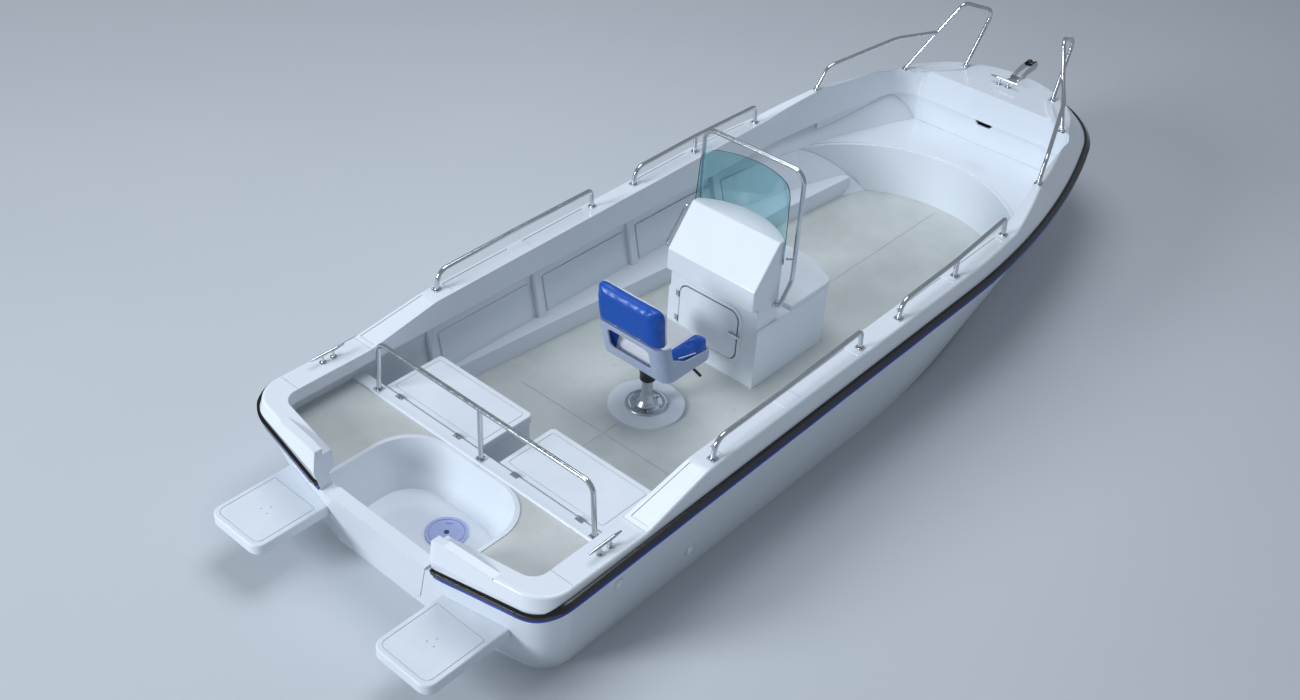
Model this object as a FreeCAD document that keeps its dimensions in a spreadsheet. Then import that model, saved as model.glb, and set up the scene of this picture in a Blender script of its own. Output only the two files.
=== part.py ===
import FreeCAD, Part
import math
import os

# Centre console boat, in millimetres. X to starboard, Y forward, Z up.
# The origin is on the centreline at the stern, at the level of the water.

V = FreeCAD.Vector
doc = FreeCAD.newDocument("CentreConsoleBoat")
sheet = doc.addObject("Spreadsheet::Sheet", "Sizes")

# Driving sizes: alias, value in millimetres, or in degrees where the alias ends in _deg.
SIZES = [
    # hull outline at three levels: under the water, at the rub rail and at the deck edge
    ("low_level", -300), ("rub_level", 525), ("top_level", 880), ("rub_rise_deg", 1.24),
    ("rub_half_beam", 1030), ("side_flare", 185), ("side_tumble", 100), ("rub_nose", 5780),
    ("stem_rake", 700), ("top_setback", 250), ("low_nose_radius", 180),
    ("rub_nose_radius", 750), ("top_nose_radius", 575), ("bow_curve", 2380),
    ("top_curve", 2430), ("low_curve", 3480), ("rub_stern", 28), ("transom_rake", 187),
    ("top_stern_rake", 55), ("wing_rise", 105), ("wing_x", 420), ("stern_corner_radius", 170),
    # the join of hull and deck, and the sheer
    ("join_above_knuckle", 6), ("join_drop", 95), ("sheer_aft", 600), ("sheer_mid", 680),
    ("sheer_fore", 722), ("sheer_bow", 806), ("ramp_start", 760), ("ramp_length", 440),
    ("bow_ramp_back", 1800), ("bow_ramp_length", 420), ("sheer_round", 260), ("gunwale_round", 14),
    ("trim_seat", 0.3),
    # cockpit
    ("sole_level", 86), ("sole_thickness", 14), ("side_thickness", 70),
    ("bottom_thickness", 45), ("gunwale_width", 165), ("side_deck_overhang", 60),
    ("opening_aft", 215), ("wing_slant", 75), ("foredeck_length", 590),
    ("shoulder_inset", 165), ("shoulder_back", 290), ("opening_curve", 1140),
    ("opening_corner", 200), ("opening_aft_corner", 85), ("notch_half", 400),
    ("notch_sill", 400), ("bilge_level", 120), ("coaming_lip", 14), ("lip_low", 528),
    ("lip_low_bow", 603), ("seam_width", 4), ("seam_depth", 1.5), ("seam_aft_y", 1570),
    # gunwale pads, horns at the stern, foredeck strips
    ("pad_inset", 22), ("pad_depth", 3), ("pad_corner", 16), ("horn_height", 38),
    ("horn_width", 44), ("horn_length", 330), ("strip_height", 10), ("strip_width", 26),
    # stations of the feet of the side rails
    ("rail_foot_1", 1273), ("rail_foot_2", 1859), ("rail_foot_3", 2447),
    ("rail_foot_4_back", 2984), ("rail_foot_5_back", 2436), ("rail_foot_6_back", 1884),
    # foredeck and bow
    ("foredeck_thickness", 14), ("bow_wall_thickness", 14), ("bow_deck_level", 430),
    ("bow_deck_length", 360), ("bow_deck_radius", 860), ("bow_deck_thickness", 16),
    ("slot_half", 70), ("slot_level", 598), ("slot_depth", 32), ("locker_back_y", 270),
    # side ledges, panels and ribs
    ("ledge_level", 205), ("ledge_aft_reach", 170), ("ledge_mid_reach", 330),
    ("ledge_fore_reach", 470), ("ledge_mid_y", 2800), ("ledge_end_back", 1220),
    ("rib_width", 60), ("rib_depth", 30), ("rib_gap", 780), ("first_rib", 1190),
    ("rib_round", 12), ("panel_depth", 8), ("panel_top", 425),
    # stern deck, splash well and bulkhead
    ("stern_deck_level", 430), ("stern_deck_thickness", 12), ("well_half", 430),
    ("well_fore", 655), ("well_corner", 250), ("well_floor", 200), ("well_draft", 95),
    ("well_wall", 10), ("well_rim", 22), ("well_rim_height", 3), ("bulkhead_aft", 670),
    ("bulkhead_thickness", 76), ("bulkhead_rise", 14), ("bulkhead_round", 10),
    ("deck_plate_x", 70), ("deck_plate_y", 410), ("deck_plate_radius", 105),
    ("deck_plate_thickness", 8), ("plate_groove", 6),
    # transom pad for an engine's bracket
    ("pad_half", 190), ("pad_low", 60), ("pad_margin", 60), ("pad_proud", 3),
    # rub rail and band
    ("rub_rail_proud", 17), ("rub_rail_height", 30), ("stripe_proud", 10),
    ("stripe_height", 36),
    # swim platforms
    ("platform_inner", 404), ("platform_width", 366), ("platform_aft", 325),
    ("platform_level", 275), ("platform_skirt", 55), ("platform_corner", 60),
    ("platform_wall", 6), ("platform_groove_in", 26), ("platform_round", 9),
    ("ladder_pcd", 52), ("ladder_hole_radius", 3.3), ("ladder_y", -130),
    # lockers and their lids
    ("locker_inner", 70), ("locker_width", 688), ("locker_depth", 376),
    ("locker_wall", 10), ("lid_level", 436), ("lid_thickness", 46), ("lid_lip", 14),
    ("lid_wall", 6), ("lid_corner", 26), ("lid_play", 6), ("lid_seat", 0.5),
    ("lid_groove_in", 30), ("lid_round", 7), ("hinge_radius", 3.5), ("hinge_width", 46),
    # console
    ("console_aft", 2428), ("console_half", 317), ("console_length", 672),
    ("console_nose", 150), ("console_nose_radius", 377), ("console_corner", 70),
    ("console_wall", 8), ("console_round", 10), ("bench_level", 470), ("dash_half", 305),
    ("dash_overhang", 50), ("dash_low", 613), ("dash_mid", 746), ("dash_slope", 185),
    ("dash_top", 976), ("dash_side_length", 37), ("dash_nose", 112),
    ("bench_lid_thickness", 30), ("bench_lid_gap", 14), ("bench_rim", 60),
    # console door
    ("door_left", -225), ("door_width", 410), ("door_low", 215), ("door_height", 315),
    ("door_corner", 55), ("door_thickness", 14), ("door_rebate", 20), ("door_play", 6),
    ("door_frame_width", 24), ("door_frame_height", 9), ("door_round", 4),
    # windshield and grab rails
    ("shield_thickness", 5), ("shield_low", 905), ("shield_corner_low", 830),
    ("shield_top", 1278), ("shield_clear", 0.4), ("rail_radius", 13),
    ("console_rail_out", 17), ("console_rail_lead", 105), ("console_rail_top", 1372),
    ("console_rail_foot", 583), ("console_rail_bend", 75), ("side_grab_radius", 8),
    # helm seat
    ("seat_y", 1910), ("plinth_radius", 211), ("plinth_height", 12),
    ("pedestal_base_radius", 118), ("pedestal_radius", 31), ("pedestal_top", 262),
    ("swivel_radius", 48), ("seat_half", 234), ("seat_back_at", 170),
    ("seat_length", 425), ("pan_level", 412), ("shell_wall", 9), ("shell_round", 70),
    ("arm_level", 498), ("back_low", 655), ("back_top", 900), ("back_thickness", 82),
    ("pad_clear", 0.4), ("cushion_front", 542), ("lever_radius", 8),
    # rails on square feet
    ("foot_side", 44), ("foot_thickness", 5), ("socket_radius", 17),
    ("socket_height", 18), ("stern_rail_half", 752),
    ("stern_rail_y", 702), ("stern_rail_rise", 307), ("bow_loop_rise", 480),
    ("bow_loop_fore_rise", 359), ("bow_low_rise", 246),
    # cleats and bow roller
    ("cleat_length", 200), ("cleat_height", 46), ("cleat_bar", 9), ("cleat_inset", 80),
    ("cleat_y", 554), ("bow_cleat_back", 408), ("roller_back", 45), ("roller_radius", 24),
    ("roller_width", 46), ("roller_gap", 5), ("roller_play", 0.5), ("cheek_thickness", 4),
    ("pin_radius", 5),
]
# Sizes that follow from others.
TIED = [
    ("low_half_beam", "=rub_half_beam - side_flare"),
    ("top_half_beam", "=rub_half_beam - side_tumble"),
    ("low_nose", "=rub_nose - stem_rake"), ("top_nose", "=rub_nose - top_setback"),
    ("rub_taper", "=rub_nose - bow_curve"), ("top_taper", "=rub_nose - top_curve"),
    ("low_taper", "=rub_nose - low_curve"), ("low_stern", "=rub_stern + transom_rake"),
    ("top_stern", "=rub_stern + top_stern_rake"), ("ramp_end", "=ramp_start + ramp_length"),
    ("bow_ramp_start", "=rub_nose - bow_ramp_back"),
    ("bow_ramp_end", "=bow_ramp_start + bow_ramp_length"),
    ("opening_half", "=rub_half_beam - gunwale_width"),
    ("cockpit_half", "=opening_half + side_deck_overhang"),
    ("opening_end", "=rub_nose - foredeck_length"),
    ("opening_shoulder", "=opening_half - shoulder_inset"),
    ("opening_shoulder_y", "=opening_end - shoulder_back"),
    ("opening_taper", "=opening_end - opening_curve"),
    ("bow_deck_aft", "=opening_end - bow_deck_length"),
    ("bulkhead_top", "=stern_deck_level + bulkhead_rise"),
    ("bulkhead_fore", "=bulkhead_aft + bulkhead_thickness"),
    ("locker_aft", "=bulkhead_fore + lid_play"),
    ("locker_outer", "=locker_inner + locker_width"),
    ("locker_fore", "=bulkhead_fore + locker_depth"),
    ("console_fore", "=console_aft + console_length"),
    ("dash_aft", "=console_aft - dash_overhang"), ("dash_top_y", "=dash_aft + dash_slope"),
    ("dash_side_y", "=dash_top_y + dash_side_length"),
    ("dash_nose_y", "=dash_side_y + dash_nose"),
    ("door_right", "=door_left + door_width"), ("door_high", "=door_low + door_height"),
    ("seat_aft", "=seat_y - seat_back_at"), ("seat_fore", "=seat_aft + seat_length"),
    ("roller_y", "=rub_nose - roller_back"),
    ("rail_foot_4", "=rub_nose - rail_foot_4_back"),
    ("rail_foot_5", "=rub_nose - rail_foot_5_back"),
    ("rail_foot_6", "=rub_nose - rail_foot_6_back"),
    ("swivel_height", "=pan_level - pedestal_top - lid_seat"),
]
for row, (alias, value) in enumerate(SIZES + TIED, 1):
    sheet.set("A%d" % row, alias)
    sheet.set("B%d" % row, str(value))
    sheet.setAlias("B%d" % row, alias)
doc.recompute()


def mm(alias):
    return float(sheet.get(alias))


parts = []


def keep(thing, label):
    """Takes a document object as the sub-part of this name."""
    thing.Label = label
    parts.append(thing)
    return thing


def moulding(label, shape):
    """A sub-part whose form is a loft, a sweep or a trimmed block of these."""
    thing = doc.addObject("Part::Feature", label)
    thing.Shape = shape
    return keep(thing, label)


def mirrored(label, source):
    """The port twin of a starboard sub-part."""
    thing = doc.addObject("Part::Mirroring", label)
    thing.Source = source
    thing.Base = V(0, 0, 0)
    thing.Normal = V(1, 0, 0)
    return keep(thing, label)


# Flat outlines are drawn in plan (X, Y), from the side (Y, Z) or from the stern (X, Z).
PLANES = {
    "plan": lambda a, b, level: V(a, b, level),
    "side": lambda a, b, level: V(level, a, b),
    "front": lambda a, b, level: V(a, level, b),
}
NORMALS = {"plan": V(0, 0, 1), "side": V(1, 0, 0), "front": V(0, 1, 0)}


def rounded_runs(points, radii, closed=True):
    """Straight runs joined by arcs of the given radii at the corners."""
    count = len(points)
    ends = []
    for i, corner in enumerate(points):
        inner = closed or 0 < i < count - 1
        if not inner or radii[i] <= 0:
            ends.append((corner, None, corner))
            continue
        before = (points[i - 1] - corner).normalize()
        after = (points[(i + 1) % count] - corner).normalize()
        half = before.getAngle(after) / 2
        reach = radii[i] / math.tan(half)
        middle = (before + after).normalize()
        depth = radii[i] / math.sin(half) - radii[i]
        ends.append((corner + before * reach, corner + middle * depth, corner + after * reach))
    runs = []
    for i, (start, middle, end) in enumerate(ends):
        if middle is not None:
            runs.append(Part.Arc(start, middle, end))
        if closed or i < count - 1:
            following = ends[(i + 1) % count][0]
            if (following - end).Length > 1e-6:
                runs.append(Part.LineSegment(end, following))
    return runs


def rounded_edges(points, radii, closed=True):
    return [run.toShape() for run in rounded_runs(points, radii, closed)]


def outline(corners, plane, level):
    """A closed wire from (a, b, corner radius) rows."""
    place = PLANES[plane]
    points = [place(a, b, level) for a, b, _ in corners]
    return Part.Wire(rounded_edges(points, [r for _, _, r in corners]))


def slab(corners, plane, level, depth):
    """The outline filled and pushed along its plane's normal."""
    return Part.Face(outline(corners, plane, level)).extrude(NORMALS[plane] * depth)


def block(x0, x1, y0, y1, z0, z1):
    return Part.makeBox(x1 - x0, y1 - y0, z1 - z0, V(x0, y0, z0))


def cylinder(radius, start, end):
    return Part.makeCylinder(radius, (end - start).Length, start, end - start)


def rectangle(a0, a1, b0, b1, radius=0.0):
    return [(a0, b0, radius), (a1, b0, radius), (a1, b1, radius), (a0, b1, radius)]


def tube(points, bends, radius):
    """A round tube bent along straight runs, with one bend radius for each inner point."""
    path = Part.Wire(rounded_edges(points, [0] + list(bends) + [0], closed=False))
    start = points[0]
    ring = Part.Wire(Part.makeCircle(radius, start, points[1] - start))
    return path.makePipeShell([ring], True, False)


def both_sides(shape):
    return [shape, shape.mirror(V(0, 0, 0), V(1, 0, 0))]


def fused(shapes):
    whole = shapes[0]
    for shape in shapes[1:]:
        whole = whole.fuse(shape)
    return whole


def edges_where(shape, test):
    return [edge for edge in shape.Edges if test(edge.BoundBox, edge)]


# Bodies drawn as sketches: the sketch planes by name, each with its own two axes.
ROLES = {"plan": "XY_Plane", "side": "YZ_Plane", "front": "XZ_Plane"}


def drawn(body, name, loops, plane, level):
    """A sketch on one of the body's own planes, at a level along the world's axis."""
    sketch = body.newObject("Sketcher::SketchObject", name)
    face = [f for f in body.Origin.OriginFeatures if f.Role == ROLES[plane]][0]
    sketch.AttachmentSupport = [(face, "")]
    sketch.MapMode = "FlatFace"
    height = -level if plane == "front" else level
    sketch.AttachmentOffset = FreeCAD.Placement(V(0, 0, height), FreeCAD.Rotation())
    for loop in loops:
        points = [V(a, b, 0) for a, b, _ in loop]
        for run in rounded_runs(points, [r for _, _, r in loop]):
            sketch.addGeometry(run, False)
    return sketch


def pad(body, name, sketch, rule, reverse=False):
    made = body.newObject("PartDesign::Pad", name)
    made.Profile = sketch
    made.setExpression("Length", rule)
    made.Reversed = reverse
    sketch.Visibility = False
    return made


def pocket(body, name, sketch, rule, reverse=False):
    made = body.newObject("PartDesign::Pocket", name)
    made.Profile = sketch
    made.setExpression("Length", rule)
    made.Reversed = reverse
    return made


def round_off(body, name, rule, test):
    """A fillet on those edges of the body's last feature that pass the test."""
    doc.recompute()
    base = body.Tip
    names = ["Edge%d" % (i + 1) for i, edge in enumerate(base.Shape.Edges)
             if test(edge.BoundBox, edge)]
    made = body.newObject("PartDesign::Fillet", name)
    made.Base = (base, names)
    made.setExpression("Radius", rule)
    return made


def new_body(label):
    return doc.addObject("PartDesign::Body", label)


# Hull and deck: one outer form through three level outlines, parted at the rub rail.

def boat_outline(grow, level, half_beam, nose, nose_radius, taper, stern, rise_deg=0.0):
    """Plan of the boat at one level: round nose, long side arcs, corners and raked wings."""
    half_beam += grow
    nose += grow
    nose_radius += grow
    stern -= grow
    wing_y = stern + mm("wing_rise")
    turn = math.pi / 2 - 2 * math.atan2(half_beam - nose_radius, nose - nose_radius - taper)
    side_radius = nose_radius + (nose - nose_radius - taper) / math.cos(turn)
    middle = math.pi / 4 - turn / 2
    shoulder = V(nose_radius * math.sin(turn), nose - nose_radius + nose_radius * math.cos(turn), 0)
    bulge = V(half_beam - side_radius + side_radius * math.cos(middle),
              taper + side_radius * math.sin(middle), 0)
    quarter = V(half_beam, taper, 0)
    wing = V(mm("wing_x"), stern, 0)
    corner_radius = mm("stern_corner_radius") + grow
    stern_edges = rounded_edges([quarter, V(half_beam, wing_y, 0), wing, V(0, stern, 0)],
                                [0, corner_radius, 0, 0], closed=False)
    half = [Part.Arc(shoulder, bulge, quarter).toShape()] + stern_edges
    port = [edge.mirror(V(0, 0, 0), V(1, 0, 0)) for edge in half]
    mirror_shoulder = V(-shoulder.x, shoulder.y, 0)
    nose_arc = Part.Arc(mirror_shoulder, V(0, nose, 0), shoulder).toShape()
    wire = Part.Wire(Part.__sortEdges__([nose_arc] + half + port))
    wire.rotate(V(0, 0, 0), V(1, 0, 0), rise_deg)
    wire.translate(V(0, 0, level))
    return wire


def outer_form(grow=0.0):
    low = boat_outline(grow, mm("low_level"), mm("low_half_beam"), mm("low_nose"),
                       mm("low_nose_radius"), mm("low_taper"), mm("low_stern"))
    knuckle = boat_outline(grow, mm("rub_level"), mm("rub_half_beam"), mm("rub_nose"),
                           mm("rub_nose_radius"), mm("rub_taper"), mm("rub_stern"),
                           mm("rub_rise_deg"))
    top = boat_outline(grow, mm("top_level"), mm("top_half_beam"), mm("top_nose"),
                       mm("top_nose_radius"), mm("top_taper"), mm("top_stern"))
    return Part.makeLoft([low, knuckle, top], True, True)


tall = 1000
far_aft = -200
far_fore = mm("rub_nose") + 400


def below(heights, drop=0.0):
    """Everything under a side profile of (y, z, radius) rows, wider than the boat."""
    wide = 1500
    deep = -800
    rows = [(y, z - drop, r) for y, z, r in heights]
    corners = rows + [(rows[-1][0], deep, 0), (rows[0][0], deep, 0)]
    return slab(corners, "side", -wide, 2 * wide)


slope = math.tan(math.radians(mm("rub_rise_deg")))
join_level = mm("rub_level") + mm("join_above_knuckle")
join = [(far_aft, join_level - mm("join_drop"), 0), (30, join_level - mm("join_drop"), 60),
        (230, join_level + 230 * slope, 200), (far_fore, join_level + far_fore * slope, 0)]
SHEER = [(far_aft, mm("sheer_aft")), (mm("ramp_start"), mm("sheer_aft")),
         (mm("ramp_end"), mm("sheer_mid")), (mm("bow_ramp_start"), mm("sheer_fore")),
         (mm("bow_ramp_end"), mm("sheer_bow")), (far_fore, mm("sheer_bow"))]
sheer = [(y, z, mm("sheer_round") if 0 < i < len(SHEER) - 1 else 0)
         for i, (y, z) in enumerate(SHEER)]


def sheer_at(y):
    """Height of the gunwale's top at a station."""
    for (y0, z0), (y1, z1) in zip(SHEER, SHEER[1:]):
        if y <= y1:
            return z0 + (z1 - z0) * (y - y0) / (y1 - y0)
    return mm("sheer_bow")


# Bottom: from the nose back, the station, the keel's level, the rise over a metre of half
# beam, the chine flat's inner edge and how much of each spray strake's step is left there.
nose_y = mm("rub_nose")
BOTTOM = [(-nose_y - 150, -222, 190, 850, 1.0), (-3280, -222, 215, 850, 1.0),
          (-2380, -214, 285, 800, 1.0), (-1480, -200, 320, 690, 0.8),
          (-780, -150, 430, 380, 0.2), (-330, -20, 600, 120, 0.05), (170, 420, 900, 60, 0.02)]
STRAKES = (300, 560)
strake_width = 52
sections = []
for back, keel, rise, chine, left in BOTTOM:
    station = nose_y + back
    wide = 1100
    side = [V(0, station, keel)]
    for x in STRAKES:
        inner = min(x, chine * x / 800)
        outer_x = inner + strake_width * max(left, 0.05)
        level = keel + rise * inner / 1000
        full = keel + rise * outer_x / 1000
        side += [V(inner, station, level), V(outer_x, station, full - (full - level) * left),
                 V(outer_x + 0.5, station, full)]
    flat = keel + rise * chine / 1000
    side += [V(chine, station, flat), V(wide, station, flat + rise * (wide - chine) / 4000)]
    port = [V(-p.x, p.y, p.z) for p in reversed(side[1:])]
    corners = side + [V(wide, station, -900), V(-wide, station, -900)] + port + [side[0]]
    sections.append(Part.makePolygon(corners))
bottom_cut = Part.makeLoft(sections, True, True)

outer = outer_form()
sole_low = mm("sole_level") - mm("sole_thickness")
inner_form = outer_form(-mm("side_thickness"))
inner_form_clear = outer_form(-mm("side_thickness") - mm("trim_seat"))


def hull_room(clear, low, aft, fore):
    """The space inside the hull's skins between two stations, above one level."""
    half = mm("cockpit_half") - clear
    form = (inner_form_clear if clear else inner_form).common(block(-half, half, aft, fore,
                                                                    low, tall))
    raised = bottom_cut.copy()
    raised.translate(V(0, 0, mm("bottom_thickness") + clear))
    return form.cut(raised)


notch = block(-mm("notch_half"), mm("notch_half"), far_aft, mm("opening_aft") + 60,
              mm("notch_sill"), tall)
hull = outer.common(below(join)).cut(bottom_cut)
hull = hull.cut(hull_room(0, sole_low, mm("bulkhead_aft"), nose_y - 330))
hull = hull.cut(hull_room(0, mm("bilge_level"), 0, mm("bulkhead_aft"))).cut(notch)
pad_top = mm("notch_half") - mm("pad_margin")
pad_slab = slab([(-mm("pad_half"), mm("pad_low"), 40), (mm("pad_half"), mm("pad_low"), 40),
                 (pad_top, mm("notch_sill") + 20, 0), (-pad_top, mm("notch_sill") + 20, 0)],
                "front", far_aft, mm("opening_aft") - far_aft)
pad_plate = outer_form(mm("pad_proud")).common(pad_slab)
hull = hull.fuse(pad_plate.cut(hull_room(0, mm("bilge_level"), 0, mm("bulkhead_aft"))))
moulding("hull", hull.removeSplitter())

wing_inner = mm("opening_aft") - mm("wing_slant")


def opening_rows(grow):
    """Plan of the cockpit's opening in the deck, or the same line moved out by an amount."""
    half = mm("opening_half") + grow
    shoulder = mm("opening_shoulder") + grow
    end = mm("opening_end") + grow
    starboard = [(mm("wing_x"), wing_inner - grow, 0),
                 (half, mm("opening_aft") - grow, mm("opening_aft_corner") + grow),
                 (half, mm("opening_taper"), 1500 + grow),
                 (shoulder, mm("opening_shoulder_y"), 500 + grow),
                 (shoulder - 60, end, mm("opening_corner") + grow)]
    return starboard + [(-a, b, r) for a, b, r in reversed(starboard)]


opening = slab(opening_rows(0), "plan", -tall, 3 * tall)
lip_edge = [(far_aft, mm("lip_low"), 0), (mm("bow_ramp_start"), mm("lip_low"), 400),
            (mm("opening_shoulder_y"), mm("lip_low_bow"), 200),
            (far_fore, mm("lip_low_bow"), 0)]
deck = outer.cut(below(join)).common(below(sheer)).removeSplitter()
rim_edges = []
for edge in deck.Edges:
    middle = edge.valueAt((edge.FirstParameter + edge.LastParameter) / 2)
    normals = [face.normalAt(*face.Surface.parameter(middle))
               for face in deck.ancestorsOfType(edge, Part.Face)]
    if middle.z > mm("sheer_aft") - 5 and len([n for n in normals if n.z > 0.85]) == 1:
        rim_edges.append(edge)
deck = deck.makeFillet(mm("gunwale_round"), rim_edges)
lip = slab(opening_rows(mm("coaming_lip")), "plan", 0, tall).common(below(join, -1))
lip = lip.cut(below(lip_edge)).common(inner_form_clear)
deck = deck.fuse(lip).cut(opening).cut(notch)
anchor_room = rectangle(-300, 300, mm("opening_end") + mm("coaming_lip")
                        + mm("bow_wall_thickness"), mm("opening_end") + mm("locker_back_y"), 100)
deck = deck.cut(slab(anchor_room, "plan", -tall,
                     tall + mm("sheer_bow") - mm("foredeck_thickness")))


def edge_band(inset, x0, x1, y0, y1, depth):
    """A shallow recess in the gunwale's top, drawn in from both of the top's edges."""
    band = outer_form(-inset).cut(slab(opening_rows(inset), "plan", -tall, 3 * tall))
    return band.common(block(x0, x1, y0, y1, 0, 2 * tall)).cut(below(sheer, depth))


beam = mm("rub_half_beam")
side_x = (mm("opening_half") - 100, beam)
inset = mm("pad_inset")
depth = mm("pad_depth")
RECESSES = [  # inset, then x from and to, y from and to, and depth
    (mm("horn_width") + 10, mm("notch_half") + 75, mm("opening_half") - 80, far_aft,
     mm("opening_aft") + 20, depth),
    (inset, *side_x, mm("ramp_start") + 30, mm("ramp_end") - 12, depth),
    (inset, *side_x, mm("rail_foot_1") + 57, mm("rail_foot_2") - 59, depth),
    (inset, *side_x, mm("rail_foot_2") + 59, mm("rail_foot_3") - 59, depth),
    (inset, *side_x, mm("rail_foot_4") + 60, mm("rail_foot_5") - 58, depth),
    (inset, *side_x, mm("rail_foot_5") + 60, mm("rail_foot_6") - 60, depth),
    (1, *side_x, mm("opening_aft") + 90, mm("opening_aft") + 94, 2),
    (1, *side_x, mm("ramp_start"), mm("ramp_start") + 4, 2),
]
for row in RECESSES:
    for side in both_sides(edge_band(*row)):
        deck = deck.cut(side)
horn_foot = mm("sheer_aft") - mm("gunwale_round") - 2
horn = slab([(mm("notch_half"), horn_foot, 0),
             (mm("notch_half") + mm("horn_length"), horn_foot, 0),
             (mm("notch_half") + mm("horn_length"), mm("sheer_aft"), 0),
             (mm("notch_half") + 70, mm("sheer_aft") + mm("horn_height"), 60),
             (mm("notch_half"), mm("sheer_aft") + mm("horn_height"), 8)],
            "front", far_aft, 2 * tall)
horn = horn.common(outer).cut(outer_form(-mm("horn_width")))
horn = horn.common(block(0, tall, far_aft, mm("opening_aft") + 60, 0, tall))
for side in both_sides(horn):
    deck = deck.fuse(side)
strip_fore = V(300, nose_y - 372, mm("sheer_bow") - 1)
strip_aft = V(548, nose_y - 672, mm("sheer_bow") - 1)
across = (strip_aft - strip_fore).cross(V(0, 0, 1)).normalize()
strip_middle = (strip_fore + strip_aft) * 0.5
strip = Part.Wire([
    Part.Arc(strip_fore, strip_middle - across * 16, strip_aft).toShape(),
    Part.Arc(strip_aft, strip_middle + across * mm("strip_width"), strip_fore).toShape()])
strip = Part.Face(strip).extrude(V(0, 0, mm("strip_height") + 1))
for side in both_sides(strip):
    deck = deck.fuse(side)
moulding("deck_moulding", deck.removeSplitter())

# Rub rail: a black strip round the join, cut at the notch, with a coloured band under it.
rub_band = below(join, -mm("rub_rail_height")).cut(below(join))
stripe_band = below(join, mm("trim_seat")).cut(below(join, mm("stripe_height")))
rub_rail = outer_form(mm("rub_rail_proud")).common(rub_band).cut(outer).cut(notch)
moulding("rub_rail", rub_rail)
stripe = outer_form(mm("stripe_proud")).common(stripe_band).cut(outer).cut(notch)
moulding("rub_stripe", stripe)

# Sole: the cockpit floor, with the seams of its panels.
inside = hull_room(mm("trim_seat"), sole_low, mm("bulkhead_aft"), mm("opening_end") + 60)
sole_end = mm("bow_deck_aft") + 2 * mm("bow_deck_thickness")
sole = inside.common(block(-tall, tall, mm("bulkhead_fore"), sole_end, sole_low,
                           mm("sole_level")))
seam_low = mm("sole_level") - mm("seam_depth")
seam = mm("seam_width") / 2
seams = [block(-seam, seam, mm("console_fore") + mm("console_nose") + 60,
               mm("bow_deck_aft") - 60, seam_low, tall),
         block(-seam, seam, mm("locker_fore") + 20, mm("seat_y") - mm("plinth_radius") - 12,
               seam_low, tall),
         block(-0.62 * tall, 0.62 * tall, mm("seam_aft_y") - seam, mm("seam_aft_y") + seam,
               seam_low, tall)]
for cut in seams:
    sole = sole.cut(cut)
moulding("sole", sole)

# Stern deck, the splash well let into it, and the bulkhead in front of both.
deck_low = mm("stern_deck_level") - mm("stern_deck_thickness")


def well_form(grow, floor, top):
    """The basin: a rounded box, open aft, whose walls draw in towards its floor."""
    wires = []
    for inset, level in ((mm("well_draft"), floor), (0, top)):
        half = mm("well_half") + grow - inset
        fore = mm("well_fore") + grow - inset
        corner = mm("well_corner") + grow - 0.6 * inset
        wires.append(outline([(-half, 0, 0), (half, 0, 0), (half, fore, corner),
                              (-half, fore, corner)], "plan", level))
    return Part.makeLoft(wires, True, True)


well_wall = mm("well_wall")
stern_room = hull_room(mm("trim_seat"), mm("bilge_level"), 0, mm("bulkhead_aft"))
top_of_well = mm("stern_deck_level") + mm("well_rim_height")
wings = block(-tall, tall, 0, mm("bulkhead_aft"), deck_low, mm("stern_deck_level"))
hole = well_form(well_wall + mm("trim_seat"), mm("well_floor") - well_wall,
                 mm("stern_deck_level"))
moulding("stern_deck", wings.cut(hole).common(stern_room))
basin = well_form(well_wall, mm("well_floor") - well_wall, mm("stern_deck_level"))
rim_half = mm("well_half") + mm("well_rim")
rim_fore = min(mm("well_fore") + mm("well_rim"), mm("bulkhead_aft") - mm("trim_seat"))
rim = slab([(-rim_half, 0, 0), (rim_half, 0, 0), (rim_half, rim_fore, mm("well_corner")),
            (-rim_half, rim_fore, mm("well_corner"))], "plan",
           mm("stern_deck_level") + mm("trim_seat"), mm("well_rim_height"))
rim = rim.fuse(well_form(well_wall, mm("well_floor") - well_wall,
                         mm("stern_deck_level") + mm("trim_seat")))
well = rim.cut(well_form(0, mm("well_floor"), top_of_well + mm("trim_seat")))
moulding("splash_well", well.common(stern_room))

bulkhead = hull_room(mm("trim_seat"), sole_low, mm("bulkhead_aft"), mm("bulkhead_fore"))
bulkhead = bulkhead.common(block(-tall, tall, 0, tall, sole_low, mm("bulkhead_top")))
top_edges = edges_where(bulkhead, lambda box, edge: box.ZMin > mm("bulkhead_top") - 1
                        and box.YLength < 1 and box.XLength > 500)
moulding("stern_bulkhead", bulkhead.makeFillet(mm("bulkhead_round"), top_edges))

plate = new_body("deck_plate")
plate_y = mm("deck_plate_y")
plate_x = mm("deck_plate_x")
plate_r = mm("deck_plate_radius")
disc = plate.newObject("Sketcher::SketchObject", "deck_plate_disc")
disc.AttachmentSupport = [([f for f in plate.Origin.OriginFeatures
                            if f.Role == "XY_Plane"][0], "")]
disc.MapMode = "FlatFace"
disc.addGeometry(Part.Circle(V(0, 0, 0), V(0, 0, 1), plate_r), False)
pad(plate, "deck_plate_pad", disc, "Sizes.deck_plate_thickness")
round_off(plate, "deck_plate_edge", "Sizes.deck_plate_thickness / 3",
          lambda box, edge: box.ZMin > mm("deck_plate_thickness") - 1)
ring = plate.newObject("Sketcher::SketchObject", "deck_plate_ring")
ring.AttachmentSupport = disc.AttachmentSupport
ring.MapMode = "FlatFace"
ring.AttachmentOffset = FreeCAD.Placement(V(0, 0, mm("deck_plate_thickness")),
                                          FreeCAD.Rotation())
for share in (0.80, 0.84):
    ring.addGeometry(Part.Circle(V(0, 0, 0), V(0, 0, 1), plate_r * share), False)
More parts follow.
